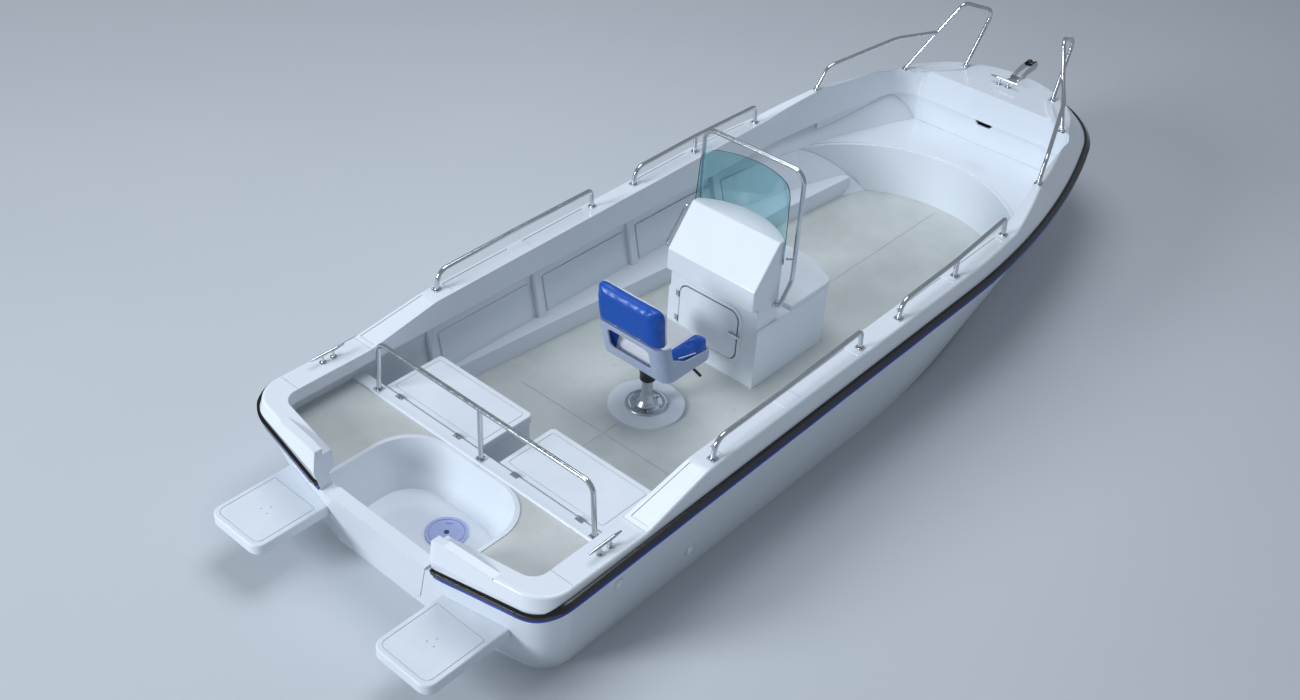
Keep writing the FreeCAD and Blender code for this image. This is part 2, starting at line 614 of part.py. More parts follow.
pocket(plate, "deck_plate_joint", ring, "Sizes.deck_plate_thickness / 3")
for sign in (1, -1):
    wedge = drawn(plate, "deck_plate_finger_hold_%d" % (sign > 0),
                  [[(-22, sign * 62, 3), (22, sign * 62, 3), (0, sign * 34, 3)]],
                  "plan", mm("deck_plate_thickness"))
    pocket(plate, "deck_plate_wedge_%d" % (sign > 0), wedge, "Sizes.deck_plate_thickness / 2")
plate.Placement = FreeCAD.Placement(V(plate_x, plate_y, mm("well_floor")),
                                    FreeCAD.Rotation(V(0, 0, 1), 35))
keep(plate, "deck_plate")

# Bow platform: a casting deck with a concave curved riser, and the wall under the foredeck.
riser_centre = mm("bow_deck_aft") - mm("bow_deck_radius")
above_sole = inside.common(block(-tall, tall, 0, far_fore, mm("sole_level"), tall))
bow_aft = riser_centre + 0.27 * mm("bow_deck_radius")
bow_block = block(-tall, tall, bow_aft, mm("opening_end") + mm("coaming_lip"),
                  mm("sole_level"), mm("bow_deck_level"))
bow_block = bow_block.common(above_sole)
well_cut = Part.makeCylinder(mm("bow_deck_radius"), tall, V(0, riser_centre, -200))
riser_edge = Part.makeCylinder(mm("bow_deck_radius") + 26, 6,
                               V(0, riser_centre, mm("bow_deck_level") - 6))
bow_hollow = block(-700, 700, bow_aft + 100, mm("opening_end") - mm("bow_deck_thickness"),
                   mm("sole_level") - 1, mm("bow_deck_level") - mm("bow_deck_thickness"))
bow_core = Part.makeCylinder(mm("bow_deck_radius") + mm("bow_deck_thickness"), tall,
                             V(0, riser_centre, -200))
bow_platform = bow_block.cut(well_cut).cut(bow_hollow.cut(bow_core)).cut(riser_edge)
moulding("bow_platform", bow_platform)

lip_out = mm("coaming_lip") + mm("trim_seat")
wall = slab(opening_rows(lip_out + mm("bow_wall_thickness")), "plan", mm("bow_deck_level"), tall)
wall = wall.cut(slab(opening_rows(lip_out), "plan", -tall, 3 * tall))
wall = wall.common(block(-tall, tall, mm("bow_deck_aft") - 380, far_fore,
                         mm("bow_deck_level"), tall))
wall = wall.common(below(join, mm("trim_seat"))).common(above_sole)
slot = slab([(-mm("slot_half"), mm("slot_level"), 4), (mm("slot_half"), mm("slot_level"), 4),
             (mm("slot_half") * 0.6, mm("slot_level") - mm("slot_depth"), 14),
             (-mm("slot_half") * 0.6, mm("slot_level") - mm("slot_depth"), 14)],
            "front", mm("opening_end") - 60, 160)
moulding("bow_wall", wall.cut(slot))

# Side ledges with the ribs and panels over them, one moulding on each side.
reach = mm("cockpit_half") + 65
ledge_aft = mm("locker_fore") - 60
ledge_end = nose_y - mm("ledge_end_back")
ledge_plan = [(reach, ledge_aft, 0), (reach, ledge_end, 0),
              (mm("rub_half_beam") - mm("ledge_fore_reach"), ledge_end, 0),
              (mm("rub_half_beam") - mm("ledge_mid_reach"), mm("ledge_mid_y"), 1500),
              (mm("rub_half_beam") - mm("ledge_aft_reach"), ledge_aft, 0)]
ledge = slab(ledge_plan, "plan", mm("sole_level"), mm("ledge_level") - mm("sole_level"))
ledge = ledge.common(above_sole).cut(bow_block.cut(well_cut))
liner_top = mm("lip_low") - 3
rib_room = outer_form(-mm("side_thickness") - mm("rib_depth"))
panel_room = outer_form(-mm("side_thickness") - mm("panel_depth"))
side_room = above_sole.common(block(0, tall, mm("bulkhead_fore"), mm("bow_deck_aft") - 120,
                                    mm("ledge_level") - mm("rib_depth"), liner_top))
pieces = [ledge]
for index in range(4):
    rib_y = mm("first_rib") + index * mm("rib_gap")
    rib = block(0, reach, rib_y - mm("rib_width") / 2, rib_y + mm("rib_width") / 2, 0, tall)
    rib = rib.common(side_room).cut(rib_room)
    edges = edges_where(rib, lambda box, edge: box.ZLength > 150 and box.XMin < 0.5 * (
        rib.BoundBox.XMin + rib.BoundBox.XMax) and abs(box.XMax - rib.BoundBox.XMax) > 1)
    pieces.append(rib.makeFillet(mm("rib_round"), edges) if len(edges) == 2 else rib)
    panel = block(0, reach, rib_y + mm("rib_width") / 2 + 30,
                  rib_y + mm("rib_gap") - mm("rib_width") / 2 - 30, 0, mm("panel_top"))
    pieces.append(panel.common(side_room).cut(panel_room))
liner = moulding("side_liner_starboard", fused(pieces).removeSplitter())
mirrored("side_liner_port", liner)

# Swim platforms: round-cornered trays with a skirt, on brackets from the transom.
px0 = mm("platform_inner")
px1 = px0 + mm("platform_width")
tip = -mm("platform_aft")
root = mm("opening_aft")
corner = mm("platform_corner")
w = mm("platform_wall")
skirt = mm("platform_skirt")
platform_low = mm("platform_level") - skirt


def tray_rows(inset, end):
    return [(px0 + inset, end, 0), (px0 + inset, tip + inset, corner - inset),
            (px1 - inset, tip + inset, corner - inset), (px1 - inset, end, 0)]


tray = new_body("platform_tray")
tray_sketch = drawn(tray, "tray_outline", [tray_rows(0, root)], "plan", platform_low)
pad(tray, "tray_pad", tray_sketch, "Sizes.platform_skirt")
round_off(tray, "tray_edge", "Sizes.platform_round",
          lambda box, edge: box.ZMin > mm("platform_level") - 1 and box.YMin < root - 1)
tray_under = drawn(tray, "tray_underside", [tray_rows(w, root)], "plan", platform_low)
pocket(tray, "tray_hollow", tray_under, "Sizes.platform_skirt - Sizes.platform_wall", True)
groove_in = mm("platform_groove_in")
groove_end = mm("rub_stern") + 10
tray_groove = drawn(tray, "tray_groove_outline",
                    [[(px0 + groove_in, groove_end, 12), (px0 + groove_in, tip + groove_in, 40),
                      (px1 - groove_in, tip + groove_in, 40), (px1 - groove_in, groove_end, 12)],
                     [(px0 + groove_in + 4, groove_end - 4, 8),
                      (px0 + groove_in + 4, tip + groove_in + 4, 36),
                      (px1 - groove_in - 4, tip + groove_in + 4, 36),
                      (px1 - groove_in - 4, groove_end - 4, 8)]],
                    "plan", mm("platform_level"))
pocket(tray, "tray_groove", tray_groove, "Sizes.platform_wall / 3")
ladder_x = (px0 + px1) / 2
holes = tray.newObject("Sketcher::SketchObject", "ladder_holes")
holes.AttachmentSupport = tray_groove.AttachmentSupport
holes.MapMode = "FlatFace"
holes.AttachmentOffset = tray_groove.AttachmentOffset
for turn in (90, 210, 330):
    angle = math.radians(turn)
    centre = V(ladder_x + mm("ladder_pcd") / 2 * math.cos(angle),
               mm("ladder_y") + mm("ladder_pcd") / 2 * math.sin(angle), 0)
    holes.addGeometry(Part.Circle(centre, V(0, 0, 1), mm("ladder_hole_radius")), False)
pocket(tray, "ladder_hole_cuts", holes, "Sizes.platform_wall * 2")
for index, bracket_x in enumerate((px0 + 60, px1 - 70)):
    bracket = drawn(tray, "bracket_%d" % index,
                    [[(root, mm("platform_level") - w, 0), (-190, mm("platform_level") - w, 0),
                      (-170, platform_low + 8, 6), (root, platform_low - 95, 0)]],
                    "side", bracket_x)
    pad(tray, "bracket_pad_%d" % index, bracket, "Sizes.platform_wall * 2")
hull_outside = doc.addObject("Part::Feature", "hull_outside")
hull_outside.Shape = outer_form(mm("trim_seat"))
platform = doc.addObject("Part::Cut", "swim_platform_starboard")
platform.Base = tray
platform.Tool = hull_outside
keep(platform, "swim_platform_starboard")
mirrored("swim_platform_port", platform)

# Lockers against the bulkhead, with lids hinged at their aft edge.
lx0 = mm("locker_inner") + mm("lid_lip")
lid_low = mm("lid_level") - mm("lid_thickness")
body = doc.addObject("Part::Box", "locker_outside")
LOCKER = {  # the box's sizes, which the room inside it follows
    "Length": "Sizes.locker_width - 2 * Sizes.lid_lip",
    "Width": "Sizes.locker_depth - Sizes.lid_lip",
    "Height": "Sizes.lid_level - Sizes.lid_wall - Sizes.lid_seat - Sizes.sole_level",
}
for side, rule in LOCKER.items():
    body.setExpression(side, rule)
body.Placement.Base = V(lx0, mm("bulkhead_fore"), mm("sole_level"))
room = doc.addObject("Part::Box", "locker_inside")
room.setExpression("Length", LOCKER["Length"] + " - 2 * Sizes.locker_wall")
room.setExpression("Width", LOCKER["Width"] + " - 2 * Sizes.locker_wall")
room.setExpression("Height", LOCKER["Height"])
room.Placement.Base = V(lx0 + mm("locker_wall"), mm("bulkhead_fore") + mm("locker_wall"),
                        mm("sole_level") + mm("locker_wall"))
locker = doc.addObject("Part::Cut", "locker_starboard")
locker.Base = body
locker.Tool = room
keep(locker, "locker_starboard")
mirrored("locker_port", locker)

lid = new_body("locker_lid_starboard")
lid_plan = [(mm("locker_inner"), mm("locker_aft"), 6), (mm("locker_outer"), mm("locker_aft"), 6),
            (mm("locker_outer"), mm("locker_fore"), mm("lid_corner")),
            (mm("locker_inner"), mm("locker_fore"), mm("lid_corner"))]
pad(lid, "lid_pad", drawn(lid, "lid_outline", [lid_plan], "plan", lid_low),
    "Sizes.lid_thickness")
round_off(lid, "lid_edge", "Sizes.lid_round",
          lambda box, edge: box.ZMin > mm("lid_level") - 1)
play = mm("lid_play")
lid_under = rectangle(lx0 - play, mm("locker_outer") - mm("lid_lip") + play,
                      mm("locker_aft") - 1, mm("locker_fore") - mm("lid_lip") + play)
pocket(lid, "lid_hollow", drawn(lid, "lid_underside", [lid_under], "plan", lid_low),
       "Sizes.lid_thickness - Sizes.lid_wall", True)
g = mm("lid_groove_in")
groove_rows = [rectangle(mm("locker_inner") + g + k, mm("locker_outer") - g - k,
                         mm("locker_aft") + g + k, mm("locker_fore") - g - k, 18 - k)
               for k in (0, 4)]
pocket(lid, "lid_groove", drawn(lid, "lid_groove_outline", groove_rows, "plan",
                                mm("lid_level")), "Sizes.lid_wall / 3")
keep(lid, "locker_lid_starboard")
mirrored("locker_lid_port", lid)

# Locker hinges: a leaf on the bulkhead with a barrel on the lid's turning line.
hinge_y = (mm("bulkhead_fore") + mm("locker_aft")) / 2 + 1
hinge_z = mm("bulkhead_top") - 1.5
half_leaf = mm("hinge_width") / 2
hinges = []
for hinge_x in (mm("locker_inner") + 130, mm("locker_outer") - 130):
    leaf = block(hinge_x - half_leaf, hinge_x + half_leaf, hinge_y - 30, hinge_y,
                 mm("bulkhead_top"), mm("bulkhead_top") + 2)
    barrel = cylinder(mm("hinge_radius"), V(hinge_x - half_leaf, hinge_y, hinge_z),
                      V(hinge_x + half_leaf, hinge_y, hinge_z))
    hinges += both_sides(leaf.fuse(barrel))

# Console: a hollow moulding, open under, with a door hole aft and a bench hole in front.
dash_half = mm("dash_half")
sag = mm("dash_nose")
nose_radius = (dash_half ** 2 + sag ** 2) / (2 * sag)
nose_centre = mm("dash_nose_y") - nose_radius


def trunk_rows(inset):
    """Plan of the console's lower part and of the bench lid over it."""
    half = mm("console_half") - inset
    fore = mm("console_fore") - inset
    return [(-half, mm("console_aft") + inset, 0), (half, mm("console_aft") + inset, 0),
            (half, fore, mm("console_corner") - inset),
            (0, fore + mm("console_nose"), mm("console_nose_radius") - inset),
            (-half, fore, mm("console_corner") - inset)]


def console_form(inset):
    """The console's outside, or its inside when drawn in by the wall."""
    foot = mm("sole_level") - (1 if inset else 0)
    trunk = slab(trunk_rows(inset), "plan", foot, mm("bench_level") - inset - foot)
    nose = mm("dash_nose_y") + 20
    upper = slab([(mm("console_aft") + inset, mm("bench_level") - 2 * inset - 10, 0),
                  (mm("console_aft") + inset, mm("dash_low") + inset, 0),
                  (mm("dash_aft") + inset, mm("dash_low") + inset, 8),
                  (mm("dash_aft") + inset, mm("dash_mid") - inset * 0.3, 14),
                  (mm("dash_top_y") + inset * 0.3, mm("dash_top") - inset, 16),
                  (nose, mm("dash_top") - inset, 0),
                  (nose, mm("bench_level") - 2 * inset - 10, 0)],
                 "side", -dash_half + inset, 2 * (dash_half - inset))
    upper = upper.common(Part.makeCylinder(nose_radius - inset, 2 * tall,
                                           V(0, nose_centre, -100)))
    if not inset:
        sides = edges_where(upper, lambda box, edge: box.XLength < 1
                            and abs(box.Center.x) > dash_half - 2
                            and box.ZMin > mm("dash_mid") - 20 and box.YLength > 60)
        upper = upper.makeFillet(mm("console_round"), sides)
    return trunk.fuse(upper)


console = console_form(0).cut(console_form(mm("console_wall")))


def door_rows(grow, round_by=0.0):
    return rectangle(mm("door_left") - grow, mm("door_right") + grow, mm("door_low") - grow,
                     mm("door_high") + grow, mm("door_corner") + grow + round_by)


play = mm("door_play")
frame_rows = door_rows(play + mm("door_frame_width"))
door_frame = slab(frame_rows, "front", mm("console_aft") - mm("door_frame_height"),
                  mm("door_frame_height"))
door_frame = door_frame.cut(slab(door_rows(play), "front", 0, 2 * mm("console_aft")))
frame_edges = edges_where(door_frame, lambda box, edge: box.YMax < mm("console_aft") - 1)
door_frame = door_frame.makeFillet(mm("door_round"), frame_edges)
console = console.fuse(door_frame)
console = console.cut(slab(door_rows(-mm("door_rebate")), "front", mm("console_aft") - 20, 60))
bench_aft = mm("dash_nose_y") + mm("bench_rim")
bench_fore = mm("console_fore") - mm("bench_rim") / 2
bench_half = mm("console_half") - 1.6 * mm("bench_rim")
console = console.cut(block(-bench_half, bench_half, bench_aft, bench_fore,
                            mm("bench_level") - 40, mm("bench_level") + 20))
moulding("console", console.removeSplitter())

bench = new_body("console_bench_lid")
bench_rows = trunk_rows(0)
lid_aft = mm("dash_nose_y") + mm("bench_lid_gap")
bench_rows[0] = (bench_rows[0][0], lid_aft, 12)
bench_rows[1] = (bench_rows[1][0], lid_aft, 12)
pad(bench, "bench_pad", drawn(bench, "bench_outline", [bench_rows], "plan",
                              mm("bench_level") + mm("lid_seat")),
    "Sizes.bench_lid_thickness")
round_off(bench, "bench_edge", "Sizes.lid_round", lambda box, edge: box.ZMin
          > mm("bench_level") + mm("bench_lid_thickness") - 1)
keep(bench, "console_bench_lid")

door = new_body("console_door")
door_back = mm("console_aft") - mm("lid_seat")
pad(door, "door_pad", drawn(door, "door_outline", [door_rows(0)], "front", door_back),
    "Sizes.door_thickness")
door_front = door_back - mm("door_thickness")
round_off(door, "door_edge", "Sizes.door_round",
          lambda box, edge: box.YMax < door_front + 1)
keep(door, "console_door")

# Door latch: a plate on the door with a bar that reaches over the frame.
latch_x = mm("door_right") - 16
latch_z = (mm("door_low") + mm("door_high")) / 2 + 16
latch = new_body("console_latch")
pad(latch, "latch_plate", drawn(latch, "latch_plate_outline",
                                [rectangle(latch_x - 16, latch_x + 12, latch_z - 17,
                                           latch_z + 17, 4)], "front", door_front),
    "Sizes.door_frame_height / 3")
pad(latch, "latch_bar", drawn(latch, "latch_bar_outline",
                              [rectangle(latch_x - 34, latch_x + 48, latch_z - 7,
                                         latch_z + 7, 6)], "front",
                              door_front - mm("door_frame_height") / 3),
    "Sizes.door_frame_height")
keep(latch, "console_latch")

# Door hinges: two square leaves on the frame, each with a barrel on the door's turning line.
leaf_out = mm("door_frame_width") - 4
door_hinge_x = mm("door_left") - play - 4
door_hinge_y = mm("console_aft") - mm("door_frame_height") - 6
leaf_y = mm("console_aft") - mm("door_frame_height")
door_hinges = []
for hinge_at in (mm("door_low") + 80, mm("door_high") - 70):
    leaf = block(door_hinge_x - leaf_out, door_hinge_x, leaf_y - 2.5, leaf_y, hinge_at - 19,
                 hinge_at + 19)
    leaf = leaf.fuse(block(door_hinge_x - 3, door_hinge_x + 3, door_hinge_y, leaf_y,
                           hinge_at - 19, hinge_at + 19))
    barrel = cylinder(mm("hinge_radius"), V(door_hinge_x, door_hinge_y, hinge_at - 19),
                      V(door_hinge_x, door_hinge_y, hinge_at + 19))
    door_hinges.append(leaf.fuse(barrel))
moulding("console_door_hinges", Part.makeCompound(door_hinges))

# Bench hinges: two barrels in the gap behind the lid, on brackets up from the console.
bench_hinge_y = lid_aft - mm("bench_lid_gap") / 2
bench_hinge_z = mm("bench_level") + mm("bench_lid_thickness") + mm("hinge_radius") + 1
for hinge_x in (-90, 90):
    barrel = cylinder(mm("hinge_radius"), V(hinge_x - half_leaf, bench_hinge_y, bench_hinge_z),
                      V(hinge_x + half_leaf, bench_hinge_y, bench_hinge_z))
    web = block(hinge_x - half_leaf, hinge_x + half_leaf, bench_hinge_y - 2, bench_hinge_y + 2,
                mm("bench_level"), bench_hinge_z)
    hinges.append(web.fuse(barrel))
moulding("lid_hinges", Part.makeCompound(hinges))

# Windshield: a curved acrylic sheet wrapped round the front of the console's top.
shield_in = nose_radius + mm("shield_clear")
shield = Part.makeCylinder(shield_in + mm("shield_thickness"), 2 * tall, V(0, nose_centre, 0))
shield = shield.cut(Part.makeCylinder(shield_in, 2 * tall, V(0, nose_centre, 0)))
side_half = dash_half + 12
top_half = dash_half - 5
shield_face = slab([(-side_half, mm("shield_corner_low"), 10),
                    (-side_half + 34, mm("shield_corner_low"), 10),
                    (-side_half + 70, mm("shield_low"), 60),
                    (side_half - 70, mm("shield_low"), 60),
                    (side_half - 34, mm("shield_corner_low"), 10),
                    (side_half, mm("shield_corner_low"), 10),
                    (top_half, mm("shield_top"), 70), (-top_half, mm("shield_top"), 70)],
                   "front", nose_centre + 40, nose_radius)
moulding("windshield", shield.common(shield_face))

# Grab rail over the console: an inverted U whose feet turn in to the console's sides, with a
# stay to each lower corner of the windshield, and a thin rail up the dash's port edge.
rail_r = mm("rail_radius")
rx = dash_half + mm("console_rail_out") + rail_r
ry = mm("dash_top_y") + mm("console_rail_lead")
foot_y = mm("dash_side_y") - 20
foot_z = mm("console_rail_foot")
console_side = dash_half + mm("trim_seat")
leg = foot_z + 130
rail_points = [V(console_side, foot_y, foot_z), V(rx, foot_y, foot_z), V(rx, ry, leg),
               V(rx, ry, mm("console_rail_top")), V(-rx, ry, mm("console_rail_top")),
               V(-rx, ry, leg), V(-rx, foot_y, foot_z), V(-console_side, foot_y, foot_z)]
bend = mm("console_rail_bend")
grab = tube(rail_points, [14, 60, bend, bend, 60, 14], rail_r)
flange = cylinder(2 * rail_r, V(console_side, foot_y, foot_z), V(console_side + 4, foot_y, foot_z))
stay = cylinder(6, V(rx, ry, mm("shield_corner_low") + 10),
                V(dash_half + 16, ry - 52, mm("shield_corner_low") + 34))
grab = fused([grab] + both_sides(flange) + both_sides(stay))
grab_low = V(-console_side, mm("dash_aft") + 22, mm("dash_mid") + 6)
grab_high = V(-console_side, mm("dash_top_y") - 8, mm("dash_top") - 38)
out = V(-30, 0, 0)
side_grab = tube([grab_low, grab_low + out, grab_high + out, grab_high], [12, 12],
                 mm("side_grab_radius"))
moulding("console_rail", Part.makeCompound([grab, side_grab]))

# Helm seat: plinth, pedestal, swivel, moulded shell and two pads.
seat_y = mm("seat_y")
plinth = doc.addObject("Part::Cylinder", "seat_plinth")
plinth.setExpression("Radius", "Sizes.plinth_radius")
plinth.setExpression("Height", "Sizes.plinth_height")
plinth.Placement.Base = V(0, seat_y, mm("sole_level"))
keep(plinth, "seat_plinth")
pedestal_foot = mm("sole_level") + mm("plinth_height")


def turned(label, profile, place, turn=None):
    """A round piece turned about its own upright axis from (radius, height) points."""
    made = new_body(label)
    sketch = drawn(made, label + "_profile", [[(a, b, 0) for a, b in profile]], "front", 0)
    spin = made.newObject("PartDesign::Revolution", label + "_turn")
    spin.Profile = sketch
    spin.ReferenceAxis = (sketch, ["V_Axis"])
    spin.Angle = 360
    made.Placement = FreeCAD.Placement(place, turn or FreeCAD.Rotation())
    return keep(made, label)


base_r = mm("pedestal_base_radius")
tube_r = mm("pedestal_radius")
rise = mm("pedestal_top") - pedestal_foot
turned("seat_pedestal", [(0, 0), (base_r, 0), (base_r, 6), (base_r - 8, 13), (base_r - 20, 13),
                         (base_r - 27, 8), (tube_r + 34, 10), (tube_r + 14, 34),
                         (tube_r + 4, 62), (tube_r, 80), (tube_r, rise), (0, rise)],
       V(0, seat_y, pedestal_foot))
swivel_r = mm("swivel_radius")
swivel_top = mm("swivel_height")
turned("seat_swivel", [(0, 0), (swivel_r - 12, 0), (swivel_r - 4, 8), (swivel_r - 4, 42),
                       (swivel_r + 16, swivel_top - 22), (swivel_r + 16, swivel_top),
                       (0, swivel_top)],
       V(0, seat_y, mm("pedestal_top") + mm("lid_seat")))

# Seat shell: a bucket with a pan, low sides and two uprights joined by a bar behind the back.
half = mm("seat_half")
aft = mm("seat_aft")
fore = mm("seat_fore")
wall = mm("shell_wall")
pan = mm("pan_level")
arm = mm("arm_level")
SEAT_SIDE = [(aft + 40, pan, 30), (fore - 40, pan, 40), (fore, pan + 44, 10),
             (fore - 6, pan + 58, 4), (aft + 190, arm, 60), (aft + 84, arm + 60, 60),
             (aft + 60, mm("back_low"), 6), (aft - 22, mm("back_low"), 6)]
bucket = slab(SEAT_SIDE, "side", -half, 2 * half)
seat_corner = mm("shell_round")


def seat_plan(inset):
    """Plan of the seat, with rounded corners, as an upright block to trim pieces by."""
    corners = [(-half + inset, aft - 80, 0), (half - inset, aft - 80, 0),
               (half - inset, fore + 4 - inset, seat_corner - inset),
               (-half + inset, fore + 4 - inset, seat_corner - inset)]
    return slab(corners, "plan", 0, 2 * tall)



def leaning(y, low, high, lean, wide, deep, corner, front_corner):
    """An upright prism with rounded corners whose aft face leans back as it rises."""
    rows = [(-wide, y, corner), (wide, y, corner), (wide, y + deep, front_corner),
            (-wide, y + deep, front_corner)]
    rise = V(0, lean / (high - low), 1)
    base = Part.Face(outline(rows, "plan", low - 100))
    base.translate(V(0, -100 * rise.y, 0))
    return base.extrude(rise * (high - low + 200))


shell_lean = -62
bucket = bucket.common(seat_plan(0)).common(
    leaning(aft + 40, pan, mm("back_low"), shell_lean, half, 600, seat_corner, 0))
inner_side = [(aft + 40 + wall, pan + wall, 30 - wall), (fore - 40, pan + wall, 40),
              (fore + wall, pan + 44 + wall, 0), (fore + 60, pan + 44 + wall, 0),
              (fore + 60, mm("back_low") + 80, 0), (aft - 22 + wall, mm("back_low") + 80, 0),
              (aft - 22 + wall, mm("back_low"), 0)]
bucket_in = slab(inner_side, "side", -half + wall, 2 * (half - wall)).common(
    leaning(aft + 40 + wall, pan, mm("back_low"), shell_lean, half - wall, 600,
            seat_corner - wall, 0))
shell = bucket.cut(bucket_in)
bar = block(-half + wall / 2, half - wall / 2, aft - 20, aft + 20, mm("back_low") - 30,
            mm("back_low"))
window = slab(rectangle(-0.62 * half, 0.62 * half, pan + 70, mm("back_low") - 32, 34),
              "front", aft - 80, 150)
shell = shell.cut(window).fuse(bar.common(bucket))
moulding("seat_shell", shell.removeSplitter())
clear = mm("pad_clear")
pad_floor = pan + wall + clear
seat_pad = slab([(aft + 70, pad_floor, 20), (fore - 44, pad_floor, 40),
                 (fore - 6, pad_floor + 44, 6), (fore + 2, pad_floor + 50, 6),
                 (fore - 24, mm("cushion_front"), 34),
                 (aft + 70, mm("cushion_front") - 6, 20)],
                "side", -half + wall + clear, 2 * (half - wall - clear))
seat_pad = seat_pad.common(seat_plan(wall + clear)).common(
    leaning(aft + 40 + wall + clear, pan, mm("back_low"), shell_lean, half - wall - clear, 600,
            seat_corner - wall - clear, 0))
moulding("seat_cushion", seat_pad)
thick = mm("back_thickness")
back = slab([(aft - 24, mm("back_low") + clear, 12), (aft - 24 + thick, mm("back_low") + clear, 26),
             (aft - 46 + thick, mm("back_top"), 30), (aft - 46, mm("back_top"), 16)],
            "side", -half, 2 * half)
back = back.common(leaning(aft - 24, mm("back_low"), mm("back_top"), -22, half, thick,
                           seat_corner, thick - seat_corner - 2))
back = back.common(slab([(-half, mm("back_low"), 6), (half, mm("back_low"), 6),
                         (half, mm("back_top"), 60), (-half, mm("back_top"), 60)],
                        "front", aft - 200, 600))
moulding("seat_back_pad", back)
lever_z = pan - mm("lever_radius")
lever = tube([V(70, seat_y + 100, lever_z), V(half - 10, seat_y + 100, lever_z),
              V(half + 22, seat_y + 128, lever_z - 46)], [14], mm("lever_radius"))
moulding("seat_lever", lever)


# Stainless rails on square feet.
def foot(x, y, z):
    side = mm("foot_side")
    return slab(rectangle(x - side / 2, x + side / 2, y - side / 2, y + side / 2, 5), "plan", z,
                mm("foot_thickness"))


def post(x, y, low, high):
    return Part.makeCylinder(rail_r, high - low, V(x, y, low))


sink = mm("foot_thickness") / 2
SIDE_RAILS = [  # name, y and inset of the aft, middle and fore foot, rise aft and fore
    ("aft", (("rail_foot_1", 81), ("rail_foot_2", 80), ("rail_foot_3", 88)), 105, 112),
    ("fore", (("rail_foot_4", 91), ("rail_foot_5", 95), ("rail_foot_6", 124)), 100, 116),
]
for name, feet, rise_aft, rise_fore in SIDE_RAILS:
    at = []
    for station, inset in feet:
        y = mm(station)
        lift = mm("foot_side") / 2 * (sheer_at(y + 50) - sheer_at(y - 50)) / 100
        at.append(V(mm("rub_half_beam") - inset, y, sheer_at(y) + lift + mm("trim_seat")))
    ends = [at[0] + V(0, 0, sink), at[0] + V(0, 18, rise_aft),
            at[1] + V(0, 0, (rise_aft + rise_fore) / 2), at[2] + V(0, -8, rise_fore),
            at[2] + V(0, 0, sink)]
    rail = tube(ends, [70, 3000, 32], rail_r)
    middle_post = post(at[1].x, at[1].y, at[1].z, at[1].z + (rise_aft + rise_fore) / 2)
    rail = rail.fuse(middle_post.fuse(foot(at[1].x, at[1].y, at[1].z)))
    for place in (at[0], at[2]):
        rail = rail.fuse(foot(place.x, place.y, place.z))
    side_rail = moulding("side_rail_%s_starboard" % name, rail)
    mirrored("side_rail_%s_port" % name, side_rail)

sx = mm("stern_rail_half")
sy = mm("stern_rail_y")
stern_foot = mm("bulkhead_top")
stern_top = stern_foot + mm("stern_rail_rise")
stern_rail = tube([V(sx, sy, stern_foot + sink), V(sx - 20, sy, stern_top),
                   V(-sx + 20, sy, stern_top), V(-sx, sy, stern_foot + sink)],
                  [60, 60], rail_r)
stern_rail = stern_rail.fuse(post(0, sy, stern_foot + sink, stern_top))
for x in (-sx, 0, sx):
    stern_rail = stern_rail.fuse(foot(x, sy, stern_foot))
moulding("stern_rail", stern_rail)

bow_z = mm("sheer_bow") + mm("trim_seat")
seat_in = mm("socket_height") / 2
loop_aft = V(588, nose_y - 680, bow_z + seat_in)
loop_fore = V(331, nose_y - 343, bow_z + seat_in)
loop_top = V(363, nose_y - 459, bow_z + mm("bow_loop_rise"))
bow_loop = tube([loop_aft, loop_top, V(300, nose_y - 162, bow_z + mm("bow_loop_fore_rise")),
                 loop_fore], [50, 60], rail_r)
meet = loop_aft + (loop_top - loop_aft) * 0.55
bow_low = tube([V(816, nose_y - 1367, bow_z + seat_in), V(798, nose_y - 1290, bow_z + 144),
                V(meet.x + 150, meet.y - 250, meet.z - 16), meet], [90, 400], rail_r)
bow_rail = bow_loop.fuse(bow_low)
for x, back in ((588, 680), (331, 343), (816, 1367)):
    socket = Part.makeCylinder(mm("socket_radius"), 2 * seat_in, V(x, nose_y - back, bow_z))
    bow_rail = bow_rail.fuse(foot(x, nose_y - back, bow_z).fuse(socket))
bow_rail_starboard = moulding("bow_rail_starboard", bow_rail)
mirrored("bow_rail_port", bow_rail_starboard)


# Mooring cleats: a bar with drawn-out ends on two legs with round feet.
def cleat(x, y, z, along):
    bar = mm("cleat_bar")
    reach = mm("cleat_length") / 2
    top = V(x, y, z + mm("cleat_height"))
    horn = cylinder(bar, top - along * (0.55 * reach), top + along * (0.55 * reach))
    for sign in (-1, 1):
        taper = Part.makeCone(bar, 0.55 * bar, 0.45 * reach,
                              top + along * (sign * 0.55 * reach), along * sign)
        tip = Part.makeSphere(0.55 * bar, top + along * (sign * reach))
        leg_foot = V(x, y, z) + along * (sign * reach * 0.33)
        horn = fused([horn, taper, tip,
                      Part.makeCone(bar, bar * 0.7, mm("cleat_height"), leg_foot),
                      Part.makeCylinder(bar * 2, 5, leg_foot)])
    return horn


stern_cleats = both_sides(cleat(mm("rub_half_beam") - mm("cleat_inset"), mm("cleat_y"),
                                mm("sheer_aft"), V(0, 1, 0)))
bow_cleat = cleat(0, nose_y - mm("bow_cleat_back"), mm("sheer_bow"), V(1, 0, 0))
moulding("mooring_cleats", Part.makeCompound(stern_cleats + [bow_cleat]))

